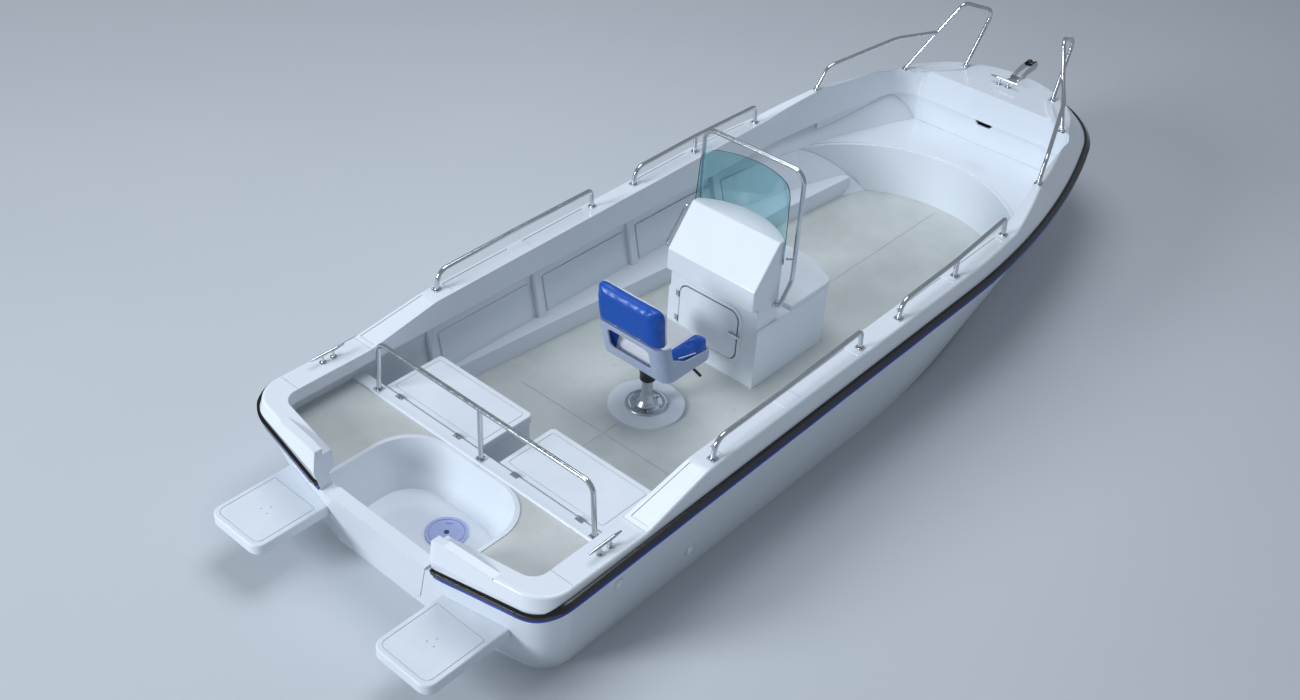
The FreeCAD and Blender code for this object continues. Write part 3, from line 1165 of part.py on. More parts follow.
# Vents in the topsides: two small clamshells on each side near the stern.
vents = []
for vent_y, vent_z in ((585, 408), (1140, 190)):
    side_x = mm("low_half_beam") + mm("side_flare") * (vent_z - mm("low_level")) / (
        mm("rub_level") - mm("low_level"))
    dome = Part.makeSphere(34, V(0, 0, 0)).transformGeometry(
        FreeCAD.Matrix(0.55, 0, 0, side_x - 4, 0, 1.15, 0, vent_y, 0, 0, 1, vent_z, 0, 0, 0, 1))
    dome = dome.cut(block(0, 2 * tall, vent_y - 80, vent_y - 14, 0, tall))
    vents += both_sides(dome.cut(outer_form(mm("trim_seat"))))
moulding("hull_vents", Part.makeCompound(vents))

# Bow roller: a turned roller on a pin between the cheeks of a channel.
roller_y = mm("roller_y")
roller_z = mm("sheer_bow") + 40
cheek_in = mm("roller_width") / 2 + mm("roller_gap")
cheek_out = cheek_in + mm("cheek_thickness")
tread = mm("sheer_bow") + mm("trim_seat")
cheek = slab([(roller_y - 235, tread, 0), (roller_y - 175, tread, 0),
              (roller_y, roller_z - 26, 20), (roller_y + 30, roller_z, 24),
              (roller_y, roller_z + 26, 20), (roller_y - 115, tread + 52, 20),
              (roller_y - 235, tread + 10, 6)], "side", cheek_in, mm("cheek_thickness"))
bracket = block(-cheek_out, cheek_out, roller_y - 275, roller_y - 175, tread, tread + 5)
for side in both_sides(cheek):
    bracket = bracket.fuse(side)
pin_end = cheek_out + 3
bracket = bracket.fuse(cylinder(mm("pin_radius"), V(-pin_end, roller_y, roller_z),
                                V(pin_end, roller_y, roller_z)))
moulding("bow_roller_bracket", bracket)
hub = mm("pin_radius") + mm("roller_play")
roller_half = mm("roller_width") / 2
groove_r = mm("roller_radius") - 7
turned("bow_roller", [(hub, -roller_half), (mm("roller_radius"), -roller_half),
                      (mm("roller_radius"), 9 - roller_half), (groove_r, -5), (groove_r, 5),
                      (mm("roller_radius"), roller_half - 9), (mm("roller_radius"), roller_half),
                      (hub, roller_half)], V(0, roller_y, roller_z),
       FreeCAD.Rotation(V(0, 1, 0), 90))

doc.recompute()
for thing in doc.Objects:
    if "Invalid" in thing.State or "Error" in thing.State:
        raise RuntimeError("%s did not recompute" % thing.Name)
os.makedirs("parts", exist_ok=True)
for thing in parts:
    shape = thing.Shape
    if shape.isNull() or not shape.isValid() or not shape.Solids:
        raise RuntimeError("%s has no valid solid" % thing.Label)
    shape.exportStep("parts/%s.step" % thing.Label)
    print("%-28s %d solids, %.0f cm3" % (thing.Label, len(shape.Solids), shape.Volume / 1000))
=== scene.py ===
import math

import bmesh
import bpy
from mathutils import Matrix, Vector
from mathutils.bvhtree import BVHTree


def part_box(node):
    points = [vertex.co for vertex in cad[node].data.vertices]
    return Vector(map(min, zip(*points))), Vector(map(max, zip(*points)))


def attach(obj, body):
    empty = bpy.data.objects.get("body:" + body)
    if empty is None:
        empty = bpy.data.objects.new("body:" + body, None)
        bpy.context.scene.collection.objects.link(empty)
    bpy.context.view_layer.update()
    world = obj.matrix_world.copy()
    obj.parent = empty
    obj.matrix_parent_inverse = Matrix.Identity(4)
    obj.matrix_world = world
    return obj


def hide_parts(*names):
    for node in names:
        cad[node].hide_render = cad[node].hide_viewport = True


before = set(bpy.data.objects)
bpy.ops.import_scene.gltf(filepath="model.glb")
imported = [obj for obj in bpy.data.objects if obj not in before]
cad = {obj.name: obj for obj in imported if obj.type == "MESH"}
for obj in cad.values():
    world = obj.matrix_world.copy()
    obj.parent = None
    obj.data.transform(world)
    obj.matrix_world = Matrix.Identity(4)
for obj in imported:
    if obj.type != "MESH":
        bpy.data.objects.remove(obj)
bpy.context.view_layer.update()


# Hull, deck and console mouldings: glass-fibre laminate under a sprayed gelcoat, released from
# a polished mould. The gloss is even, with a faint slow waviness from the weave behind it, soft
# corners, and a trace of grime in broad patches. Lengths are in metres, patterns in millimetres.
def rgb(text):
    """A hex colour as the linear values that Blender's sockets take."""
    parts = [int(text[i:i + 2], 16) / 255 for i in (0, 2, 4)]
    return tuple(c / 12.92 if c <= 0.04045 else ((c + 0.055) / 1.055) ** 2.4
                 for c in parts) + (1.0,)


def put(tree, kind, inputs=None, **settings):
    """Adds a node, sets its options, and sets or links its inputs."""
    node = tree.nodes.new(kind)
    for key, value in settings.items():
        setattr(node, key, value)
    for key, value in (inputs or {}).items():
        if isinstance(value, bpy.types.NodeSocket):
            tree.links.new(value, node.inputs[key])
        else:
            node.inputs[key].default_value = value
    return node


def material(name, **sockets):
    """A new material: its node tree, its shader and the object coordinates."""
    made = bpy.data.materials.new(name)
    made.use_nodes = True
    tree = made.node_tree
    tree.nodes.clear()
    shader = put(tree, "ShaderNodeBsdfPrincipled", sockets)
    output = put(tree, "ShaderNodeOutputMaterial")
    tree.links.new(shader.outputs["BSDF"], output.inputs["Surface"])
    coords = put(tree, "ShaderNodeTexCoord").outputs["Object"]
    return made, tree, shader, coords


def noise(tree, coords, size, detail=3.0, rough=0.55):
    """Noise whose patches are about this many millimetres across."""
    return put(tree, "ShaderNodeTexNoise", {"Vector": coords, "Scale": 1000 / size,
                                            "Detail": detail, "Roughness": rough}).outputs["Fac"]


def spread(tree, value, low, high, start=0.35, end=0.65):
    """The value's usual range stretched over low to high."""
    return put(tree, "ShaderNodeMapRange", {"Value": value, "From Min": start, "From Max": end,
                                            "To Min": low, "To Max": high}).outputs["Result"]


def blend_colours(tree, fac, first, second):
    """From the first colour to the second, each a hex text or a socket."""
    mix = put(tree, "ShaderNodeMix", data_type="RGBA")
    tree.links.new(fac, mix.inputs["Factor"])
    for slot, colour in (("A", first), ("B", second)):
        socket = [s for s in mix.inputs if s.name == slot and s.type == "RGBA"][0]
        if isinstance(colour, bpy.types.NodeSocket):
            tree.links.new(colour, socket)
        else:
            socket.default_value = rgb(colour)
    return [s for s in mix.outputs if s.type == "RGBA"][0]


def bump(tree, shader, height, strength, depth):
    """A height pattern this deep on the shader's normal, after any that is already there."""
    inputs = {"Height": height, "Strength": strength, "Distance": depth}
    if shader.inputs["Normal"].links:
        inputs["Normal"] = shader.inputs["Normal"].links[0].from_socket
    made = put(tree, "ShaderNodeBump", inputs)
    tree.links.new(made.outputs["Normal"], shader.inputs["Normal"])


def soften(tree, shader, radius):
    """Corners that catch the light over this radius, as a mould's do."""
    corner = put(tree, "ShaderNodeBevel", {"Radius": radius}, samples=4)
    tree.links.new(corner.outputs["Normal"], shader.inputs["Normal"])


def gelcoat(name, clean, worn, low_rough=0.21, high_rough=0.27):
    """Gelcoat with metre-wide patches of grime, uneven gloss and a slow waviness."""
    made, tree, shader, coords = material(name, **{"Coat Weight": 0.3, "Coat Roughness": 0.07})
    soften(tree, shader, 0.005)
    grime = spread(tree, noise(tree, coords, 1110, 1.5), 0.0, 1.0)
    tree.links.new(blend_colours(tree, grime, clean, worn), shader.inputs["Base Color"])
    tree.links.new(spread(tree, noise(tree, coords, 250, 2.0), low_rough, high_rough),
                   shader.inputs["Roughness"])
    bump(tree, shader, noise(tree, coords, 455, 0.5), 0.1, 0.001)
    return made


def dress(names, made):
    """Gives the CAD nodes this material."""
    for name in names:
        mesh = cad[name].data
        mesh.materials.clear()
        mesh.materials.append(made)


BOTH = ("starboard", "port")


def pair(name):
    return ["%s_%s" % (name, side) for side in BOTH]


white = gelcoat("white gelcoat on laminate", "E4EAF1", "DDE4EC")
dress(["hull", "deck_moulding", "splash_well", "stern_bulkhead", "bow_platform", "bow_wall",
       "console", "console_door", "hull_vents"] + pair("side_liner") + pair("locker"), white)


# Walking surfaces: the sole, the stern deck, the lids, the plinth and the swim platforms have a
# fine grain moulded into their gelcoat, so that wet feet hold. It looks matt, and the grey sole
# keeps stains in its grooves. The real grain is too fine to show, so it is drawn coarser.
def nonskid(name, clean, worn, grain, stain=0.0):
    """Grained gelcoat: patches of wear, spots of stain, and grains this many mm wide."""
    made, tree, shader, coords = material(name)
    soften(tree, shader, 0.004)
    wear = noise(tree, coords, 435, 6.0)
    tone = blend_colours(tree, spread(tree, wear, 0.0, 1.0), clean, worn)
    if stain:
        spots = spread(tree, noise(tree, coords, 58.8, 6.0, 0.7), 0.0, stain, 0.6, 0.74)
        tone = blend_colours(tree, spots, tone, "A9AEA8")
    grains = put(tree, "ShaderNodeTexVoronoi", {"Vector": coords, "Scale": 1000 / grain})
    tree.links.new(tone, shader.inputs["Base Color"])
    tree.links.new(spread(tree, wear, 0.34, 0.5), shader.inputs["Roughness"])
    bump(tree, shader, grains.outputs["Distance"], 0.35, 0.0004)
    return made


dress(["sole", "stern_deck"],
      nonskid("grained grey gelcoat", "CDD1CF", "BCC1BE", grain=1.11, stain=0.5))
dress(["console_bench_lid", "seat_plinth"] + pair("locker_lid") + pair("swim_platform"),
      nonskid("fine grained white gelcoat", "E1E7ED", "D6DDE4", grain=0.833))


# Rub rail, roller and the band under the rail: black rubber, extruded for the rail and moulded
# for the roller, with a smooth low shine, and a band of navy gelcoat sprayed into the hull's
# mould, which shines more than the white does.
def finish(name, colours, mottle, roughness=None, sheen=None, grain=None, relief=None,
           edge=None, **sockets):
    """A plain material that noise varies between two colours and two values of roughness.

    mottle, sheen and grain are the size in mm and the detail of the noise in its colour, its
    roughness and its surface, relief the strength and depth of that surface, and edge the
    radius of its softened corners."""
    made, tree, shader, coords = material(name, **sockets)
    if edge:
        soften(tree, shader, edge)
    tree.links.new(blend_colours(tree, noise(tree, coords, *mottle), *colours),
                   shader.inputs["Base Color"])
    if sheen:
        tree.links.new(spread(tree, noise(tree, coords, *sheen), *roughness),
                       shader.inputs["Roughness"])
    if grain:
        bump(tree, shader, noise(tree, coords, *grain), *relief)
    return made


rubber = finish("extruded black rubber", ("08090B", "15171B"), mottle=(71.4, 5),
                roughness=(0.14, 0.24), sheen=(25, 3), grain=(3.85, 3), relief=(0.08, 0.0003),
                edge=0.006)
dress(["rub_rail", "bow_roller"], rubber)
navy = gelcoat("navy gelcoat band", "1638B4", "1233A4", 0.12, 0.2)
dress(["rub_stripe"], navy)


# Rails, cleats and fittings: 316 stainless tube and castings, mirror polished, with slight
# clouding from salt. The polishing lines are far too fine to show and are drawn at a millimetre.
steel = finish("polished stainless", ("DADDE0", "C2C6CB"), mottle=(83.3, 4),
               roughness=(0.1, 0.22), sheen=(18.2, 5), grain=(1.11, 3), relief=(0.02, 0.00005),
               Metallic=1.0)
dress(["console_rail", "stern_rail", "mooring_cleats", "lid_hinges", "bow_roller_bracket",
       "console_latch", "console_door_hinges"] + pair("side_rail_aft") + pair("side_rail_fore")
      + pair("bow_rail"), steel)


# Screws of the rails' feet: turned stainless pan heads with a sunk socket, four to a foot, each
# seated square on the foot. One ray from above finds the deck at the screw, and a second one,
# from just over the deck, finds the foot and not the tube above it.
def skin(thing):
    """A piece's surface, for rays to meet."""
    mesh = thing.data
    return BVHTree.FromPolygons([v.co for v in mesh.vertices],
                                [p.vertices for p in mesh.polygons])


def met(surface, start, way):
    """Where a ray meets the surface, and which way the surface faces there."""
    point, facing, _, _ = surface.ray_cast(Vector(start), Vector(way).normalized())
    return (point, facing) if point else None


def turned(name, profile, sides=16):
    """A piece turned about Z from (radius, height) points, closed at the axis."""
    work = bmesh.new()
    rings = [[work.verts.new((r * math.cos(2 * math.pi * k / sides),
                              r * math.sin(2 * math.pi * k / sides), z)) for k in range(sides)]
             for r, z in profile]
    for low, high in zip(rings, rings[1:]):
        for k in range(sides):
            work.faces.new((low[k], low[(k + 1) % sides], high[(k + 1) % sides], high[k]))
    work.faces.new(rings[-1])
    work.faces.new(reversed(rings[0]))
    mesh = bpy.data.meshes.new(name)
    work.to_mesh(mesh)
    work.free()
    return mesh


def placed(name, mesh):
    thing = bpy.data.objects.new(name, mesh)
    bpy.context.scene.collection.objects.link(thing)
    return thing


def evaluated(thing):
    """The piece's mesh with its modifiers worked in."""
    graph = bpy.context.evaluated_depsgraph_get()
    return bpy.data.meshes.new_from_object(thing.evaluated_get(graph))


def group(name, sockets):
    """A geometry node tree with these named inputs, and its input sockets."""
    tree = bpy.data.node_groups.new(name, "GeometryNodeTree")
    tree.interface.new_socket("Geometry", in_out="OUTPUT", socket_type="NodeSocketGeometry")
    tree.interface.new_socket("Geometry", in_out="INPUT", socket_type="NodeSocketGeometry")
    for label, kind in sockets:
        tree.interface.new_socket(label, in_out="INPUT", socket_type="NodeSocket" + kind)
    return tree, put(tree, "NodeGroupInput").outputs


def end_group(tree, geometry, given):
    """Real geometry in the given material, as the tree's result."""
    real = put(tree, "GeometryNodeRealizeInstances", {"Geometry": geometry})
    coloured = put(tree, "GeometryNodeSetMaterial", {
        "Geometry": real.outputs["Geometry"], "Material": given["Material"]})
    put(tree, "NodeGroupOutput", {"Geometry": coloured.outputs["Geometry"]})


def grown(name, mesh, tree, body, slot, **values):
    """The tree's result on this mesh, as a plain mesh that rides on the body."""
    thing = placed(name, mesh)
    step = thing.modifiers.new("tree", "NODES")
    step.node_group = tree
    for item in tree.interface.items_tree:
        if item.item_type == "SOCKET" and item.in_out == "INPUT" and item.name in values:
            step[item.identifier] = values[item.name]
    plain = evaluated(thing)
    thing.modifiers.clear()
    thing.data = plain
    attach(thing, body)


set_out, given = group("set out", [("Fitting", "Object"), ("Size", "Float"),
                                   ("Material", "Material")])
facing = put(set_out, "GeometryNodeInputNamedAttribute", {"Name": "facing"},
             data_type="FLOAT_VECTOR").outputs["Attribute"]
turn = put(set_out, "FunctionNodeAlignRotationToVector", {"Vector": facing}, axis="Z")
fitting = put(set_out, "GeometryNodeObjectInfo", {"Object": given["Fitting"]})
copies = put(set_out, "GeometryNodeInstanceOnPoints", {
    "Points": given["Geometry"], "Instance": fitting.outputs["Geometry"],
    "Rotation": turn.outputs["Rotation"], "Scale": given["Size"]})
end_group(set_out, copies.outputs["Instances"], given)


def fasten(name, spots, body, head, made=steel, size=1.0, slot="stainless_steel"):
    """Copies of a fitting at these (point, facing) spots, as one piece."""
    spots = [s for s in spots if s]
    mesh = bpy.data.meshes.new(name)
    mesh.from_pydata([point for point, _ in spots], [], [])
    ways = mesh.attributes.new("facing", "FLOAT_VECTOR", "POINT")
    for item, (_, way) in zip(ways.data, spots):
        item.vector = way
    pattern = placed(name + "_pattern", head)
    grown(name, mesh, set_out, body, slot, Fitting=pattern, Size=size, Material=made)
    bpy.data.objects.remove(pattern)


PAN_HEAD = [(0.0036, -0.0006), (0.0036, 0.0005), (0.0030, 0.0014), (0.0018, 0.0019),
            (0.0015, 0.0019), (0.0014, 0.0009), (0.0004, 0.0009)]
DOWN = (0, 0, -1)
OVER_THE_RAILS = 1.2
OVER_THE_DECK = 0.03
SCREW_OFF_MIDDLE = 0.0165
NOSE = 5.78
AFT_FEET = ((0.949, 1.273), (0.950, 1.859), (0.942, 2.447))
FORE_FEET = ((0.939, NOSE - 2.984), (0.935, NOSE - 2.436), (0.906, NOSE - 1.884))
BOW_FEET = ((0.588, NOSE - 0.680), (0.331, NOSE - 0.343), (0.816, NOSE - 1.367))
STERN_FEET = ((-0.752, 0.702), (0.0, 0.702), (0.752, 0.702))


def foot_screws(rail, base, feet, side=1):
    """Four spots on each foot of a rail that stands on the base, with x turned to the side."""
    foot = skin(cad[rail])
    spots = []
    for x, y in feet:
        for u in (-SCREW_OFF_MIDDLE, SCREW_OFF_MIDDLE):
            for v in (-SCREW_OFF_MIDDLE, SCREW_OFF_MIDDLE):
                under = met(base, (side * x + u, y + v, OVER_THE_RAILS), DOWN)
                if under:
                    start = under[0] + Vector((0, 0, OVER_THE_DECK))
                    spots.append(met(foot, start, DOWN))
    return spots


deck = skin(cad["deck_moulding"])
rail_screws = []
for name, side in zip(BOTH, (1, -1)):
    rail_screws += foot_screws("side_rail_aft_" + name, deck, AFT_FEET, side)
    rail_screws += foot_screws("side_rail_fore_" + name, deck, FORE_FEET, side)
    rail_screws += foot_screws("bow_rail_" + name, deck, BOW_FEET, side)
rail_screws += foot_screws("stern_rail", skin(cad["stern_bulkhead"]), STERN_FEET)
fasten("rail_foot_screws", rail_screws, "boat", turned("pan_head", PAN_HEAD))


# Screws of the hinges: smaller pan heads, four down the leaves of the console door's hinges,
# and two in each leaf that the locker lids' hinges have on the bulkhead.
CLEAR = 0.1
LEAF_SCREWS_IN = 0.007
LEAF_SCREWS_UP = (0.008, 0.030)
hinges = skin(cad["console_door_hinges"])
hinge_low, hinge_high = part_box("console_door_hinges")
heights = [hinge_low.z + up for up in LEAF_SCREWS_UP]
heights += [hinge_high.z - up for up in reversed(LEAF_SCREWS_UP)]
door_screws = [met(hinges, (hinge_low.x + LEAF_SCREWS_IN, hinge_low.y - CLEAR, z), (0, 1, 0))
               for z in heights]
fasten("door_hinge_screws", door_screws, "boat", turned("leaf_head", PAN_HEAD), size=0.7)

LOCKER_HINGES_X = (0.200, 0.628, -0.200, -0.628)
LOCKER_LEAF_Y = 0.7285
LOCKER_SCREW_OFF_MIDDLE = 0.014
hinges = skin(cad["lid_hinges"])
_, hinge_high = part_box("lid_hinges")
lid_screws = [met(hinges, (x + u, LOCKER_LEAF_Y, hinge_high.z + CLEAR), DOWN)
              for x in LOCKER_HINGES_X
              for u in (-LOCKER_SCREW_OFF_MIDDLE, LOCKER_SCREW_OFF_MIDDLE)]
fasten("locker_hinge_screws", lid_screws, "boat", turned("hinge_head", PAN_HEAD), size=0.75)


# Windshield: tinted acrylic sheet, heated and bent round the console's front, with a black
# washer and screw in each lower corner, inside and out. The sheet is clear and glossy, with the
# slow waves that heating leaves.
acrylic, tree, shader, coords = material("tinted clear acrylic", IOR=1.49, **{
    "Transmission Weight": 1.0, "Base Color": rgb("BCE9EC")})
tree.links.new(spread(tree, noise(tree, coords, 167, 4.0), 0.01, 0.05),
               shader.inputs["Roughness"])
bump(tree, shader, noise(tree, coords, 200, 1.0), 0.1, 0.0008)
dress(["windshield"], acrylic)

# Injection moulded against a grained tool, the black plastic is dark with a broad soft shine.
black = finish("grained black plastic", ("101114", "1B1D21"), mottle=(50, 3),
               roughness=(0.35, 0.5), sheen=(16.7, 3), grain=(0.556, 3), relief=(0.3, 0.0002))
dress(["seat_swivel", "seat_lever"], black)

WASHER = [(0.0075, -0.0004), (0.0075, 0.0012), (0.0048, 0.0018), (0.0044, 0.0030),
          (0.0022, 0.0034), (0.0018, 0.0026), (0.0005, 0.0026)]
WASHER_IN = 0.016
WASHER_UP = 0.022
shield = skin(cad["windshield"])
shield_low, shield_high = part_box("windshield")
shield_spots = []
for side in (-1, 1):
    x = side * (shield_high.x - WASHER_IN)
    z = shield_low.z + WASHER_UP
    shield_spots.append(met(shield, (x, shield_high.y + CLEAR, z), (0, -1, 0)))
    shield_spots.append(met(shield, (x, shield_low.y - CLEAR, z), (0, 1, 0)))
fasten("windshield_screws", shield_spots, "boat", turned("washer", WASHER), black,
       slot="black_plastic")


# Helm seat: a shell of polyethylene, moulded in a turning oven, which gives it an even satin
# skin. It stands on a black swivel and a cast aluminium pedestal, machined and polished bright,
# which six bolts hold to the plinth.
shell = finish("moulded grey polyethylene", ("AEB9CF", "A0ACC4"), mottle=(200, 4),
               roughness=(0.3, 0.44), sheen=(33.3, 3), grain=(0.667, 2), relief=(0.25, 0.0002),
               edge=0.004)
dress(["seat_shell"], shell)

cast = finish("polished cast aluminium", ("CDD1D6", "B4B9C0"), mottle=(111, 4),
              roughness=(0.22, 0.28), sheen=(111, 3), Metallic=1.0)
PEDESTAL = [(0.118, 0.0), (0.118, 0.006), (0.110, 0.013), (0.098, 0.013), (0.091, 0.008),
            (0.065, 0.010), (0.045, 0.034), (0.035, 0.062), (0.031, 0.080), (0.031, 0.164)]
CORNER_CUT = 0.0015


def eased(profile, rounds=3):
    """The profile with its corners cut off again and again, as a casting's are."""
    for _ in range(rounds):
        middle = []
        for (ra, za), (rb, zb) in zip(profile, profile[1:]):
            share = min(0.25, CORNER_CUT / max(math.hypot(rb - ra, zb - za), 1e-6))
            middle += [(ra + (rb - ra) * share, za + (zb - za) * share),
                       (rb + (ra - rb) * share, zb + (za - zb) * share)]
        profile = [profile[0]] + middle + [profile[-1]]
    return profile


SEAT_Y = 1.91
pedestal_low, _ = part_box("seat_pedestal")
casting = placed("pedestal_casting", turned("pedestal_casting", eased(PEDESTAL), sides=96))
casting.data.transform(Matrix.Translation((0, SEAT_Y, pedestal_low.z)))
casting.data.materials.append(cast)
casting.data.shade_smooth()
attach(casting, "boat")
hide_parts("seat_pedestal")

BOLT = [(0.0090, -0.001), (0.0090, 0.0014), (0.0078, 0.0016), (0.0074, 0.0062),
        (0.0060, 0.0072), (0.0010, 0.0072)]
BOLTS = 6
BOLT_CIRCLE = 0.080
FIRST_BOLT = 20
OVER_THE_FLANGE = 0.16
pedestal = skin(cad["seat_pedestal"])
bolt_spots = []
for k in range(BOLTS):
    angle = math.radians(FIRST_BOLT + 360 / BOLTS * k)
    x, y = BOLT_CIRCLE * math.cos(angle), SEAT_Y + BOLT_CIRCLE * math.sin(angle)
    bolt_spots.append(met(pedestal, (x, y, OVER_THE_FLANGE), DOWN))
fasten("pedestal_bolts", bolt_spots, "boat", turned("bolt_head", BOLT, sides=18))


# Seat cushion and back pad: foam under marine vinyl, light grey in the middle and blue at the
# sides and behind, sewn over white piping. Each is blown up as cloth from a slightly smaller
# form, then the seams are pressed in and the piping is laid along them.
SEAM_X = 0.150
BACK_LEAN = 22 / 245
BACK_FRONT_Y = 1.776
BACK_LOW_Z = 0.655


def sums(tree, first, second, operation="ADD"):
    return put(tree, "ShaderNodeMath", {0: first, 1: second}, operation=operation
               ).outputs["Value"]


def cushion_border(tree, place):
    """Above nought between the two seams that run fore and aft."""
    return sums(tree, SEAM_X, sums(tree, place["X"], 0.0, "ABSOLUTE"), "SUBTRACT")


def back_border(tree, place):
    """Above nought forward of a plane near the back pad's front face, which leans aft."""
    lean = sums(tree, sums(tree, place["Z"], BACK_LOW_Z, "SUBTRACT"), BACK_LEAN, "MULTIPLY")
    return sums(tree, sums(tree, place["Y"], lean, "ADD"), BACK_FRONT_Y, "SUBTRACT")


# The vinyl is calendered over a leather grain, which breaks its shine into a soft glow. The
# grain is drawn about twice as coarse as the real one, so that it shows.
def vinyl(name, border):
    """Blue vinyl that turns light grey where the border value is above nought."""
    made, tree, shader, coords = material(name)
    place = put(tree, "ShaderNodeSeparateXYZ", {"Vector": coords}).outputs
    tone = noise(tree, coords, 125, 5.0)
    blue = blend_colours(tree, tone, "0052B6", "0046A2")
    pale = blend_colours(tree, tone, "D9DBDF", "CACDD3")
    side = sums(tree, border(tree, place), 0.0, "GREATER_THAN")
    tree.links.new(blend_colours(tree, side, blue, pale), shader.inputs["Base Color"])
    tree.links.new(spread(tree, noise(tree, coords, 20), 0.28, 0.4), shader.inputs["Roughness"])
    leather = put(tree, "ShaderNodeTexVoronoi", {"Vector": coords, "Scale": 1000 / 1.67},
                  feature="DISTANCE_TO_EDGE")
    bump(tree, shader, leather.outputs["Distance"], 0.3, 0.0003)
    bump(tree, shader, noise(tree, coords, 71.4, 2.0), 0.06, 0.002)
    return made


def smoothed(mesh, rounds):
    """Moves every point towards the middle of its neighbours, this many times."""
    work = bmesh.new()
    work.from_mesh(mesh)
    for _ in range(rounds):
        bmesh.ops.smooth_vert(work, verts=work.verts, factor=0.5, use_axis_x=True,
                              use_axis_y=True, use_axis_z=True)
    work.to_mesh(mesh)
    work.free()


MERGE = 0.0001
VOXEL = 0.006
FORM_ROUNDS = 14
COVER_ROUNDS = 8
AIR_PRESSURE = 4.0
VINYL_STIFFNESS = 18.0
CLOTH_QUALITY = 5
CLOTH_FRAMES = 20


def blown_up(thing, cap, held):
    """Swells the piece as cloth under pressure, each point no more than cap times its hold."""
    fine = thing.data
    start = [v.co.copy() for v in fine.vertices]
    cloth = thing.modifiers.new("cloth", "CLOTH")
    cloth.settings.use_pressure = True
    cloth.settings.uniform_pressure_force = AIR_PRESSURE
    cloth.settings.effector_weights.gravity = 0.0
    cloth.settings.quality = CLOTH_QUALITY
    cloth.settings.tension_stiffness = VINYL_STIFFNESS
    cloth.settings.compression_stiffness = VINYL_STIFFNESS
    cloth.point_cache.frame_start = 1
    cloth.point_cache.frame_end = CLOTH_FRAMES
    for number in range(1, CLOTH_FRAMES + 1):
        bpy.context.scene.frame_set(number)
    swollen = evaluated(thing)
    thing.modifiers.clear()
    for vertex, first, now in zip(fine.vertices, start, swollen.vertices):
        step = now.co - first
        most = cap * held(first)
        if step.length > most:
            step *= most / step.length
        vertex.co = first + step
    bpy.context.scene.frame_set(1)
    smoothed(fine, COVER_ROUNDS)


def stuffed(name, node, made, drawn_in, cap, held):
    """A padded piece: the solid's form remeshed, rounded, drawn in, then blown up."""
    work = bmesh.new()
    work.from_mesh(cad[node].data)
    bmesh.ops.remove_doubles(work, verts=work.verts, dist=MERGE)
    mesh = bpy.data.meshes.new(name)
    work.to_mesh(mesh)
    work.free()
    thing = placed(name, mesh)
    remesh = thing.modifiers.new("remesh", "REMESH")
    remesh.mode = "VOXEL"
    remesh.voxel_size = VOXEL
    fine = evaluated(thing)
    thing.modifiers.clear()
    thing.data = fine
    smoothed(fine, FORM_ROUNDS)
    ways = [v.normal.copy() for v in fine.vertices]
    for vertex, way in zip(fine.vertices, ways):
        vertex.co -= way * drawn_in
    blown_up(thing, cap, held)
    smooth = thing.modifiers.new("subdivision", "SUBSURF")
    smooth.levels = smooth.render_levels = 1
    fine = evaluated(thing)
    thing.modifiers.clear()
    thing.data = fine
    fine.materials.clear()
    fine.materials.append(made)
    fine.shade_smooth()
    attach(thing, "seat")
    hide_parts(node)
    return thing


def pressed(thing, off_seam, wide, deep):
    """Presses a seam into the piece where off_seam, in metres, is near nought."""
    ways = [v.normal.copy() for v in thing.data.vertices]
    for vertex, way in zip(thing.data.vertices, ways):
        far = off_seam(vertex.co) / wide
        vertex.co -= way * deep * math.exp(-far * far)


pan_low, pan_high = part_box("seat_cushion")
SHELL_RIM_Z = pan_low.z + 0.060
HELD_BELOW = 0.02
HELD_OVER = 0.05
LEAST_SWELL = 0.08
SEAM_BELOW_RIM = 0.03
NO_SEAM = 1.0


def cushion_held(point):
    """The foam swells where it stands out of the shell, and not inside it."""
    return min(1.0, max(LEAST_SWELL, (point.z - SHELL_RIM_Z + HELD_BELOW) / HELD_OVER))


def off_cushion_seam(point):
    """How far the point is off the nearer seam, which ends a little below the shell's rim."""
    return abs(point.x) - SEAM_X if point.z > SHELL_RIM_Z - SEAM_BELOW_RIM else NO_SEAM


def off_back_seam(point):
    return point.y + (point.z - BACK_LOW_Z) * BACK_LEAN - BACK_FRONT_Y


cushion = stuffed("cushion_cover", "seat_cushion", vinyl("vinyl on the seat", cushion_border),
                  drawn_in=0.003, cap=0.014, held=cushion_held)
pressed(cushion, off_cushion_seam, wide=0.008, deep=0.006)
back_pad = stuffed("back_pad_cover", "seat_back_pad", vinyl("vinyl on the back", back_border),
                   drawn_in=0.002, cap=0.010, held=lambda point: 1.0)
pressed(back_pad, off_back_seam, wide=0.006, deep=0.003)


# Piping of the seat: a cord inside a folded strip of white vinyl, smooth with a soft shine, sewn
# in along the seams and round the front. Two white caps close the back pad's screws.
piping, given = group("piping", [("Radius", "Float"), ("Step", "Float"),
                                 ("Material", "Material")])
run = put(piping, "GeometryNodeMeshToCurve", {"Mesh": given["Geometry"]})
even = put(piping, "GeometryNodeResampleCurve", {"Curve": run.outputs["Curve"],
                                                 "Length": given["Step"]}, mode="LENGTH")
ring = put(piping, "GeometryNodeCurvePrimitiveCircle", {"Resolution": 10,
                                                        "Radius": given["Radius"]})
tube = put(piping, "GeometryNodeCurveToMesh", {
    "Curve": even.outputs["Curve"], "Profile Curve": ring.outputs["Curve"], "Fill Caps": True})
end_group(piping, tube.outputs["Mesh"], given)


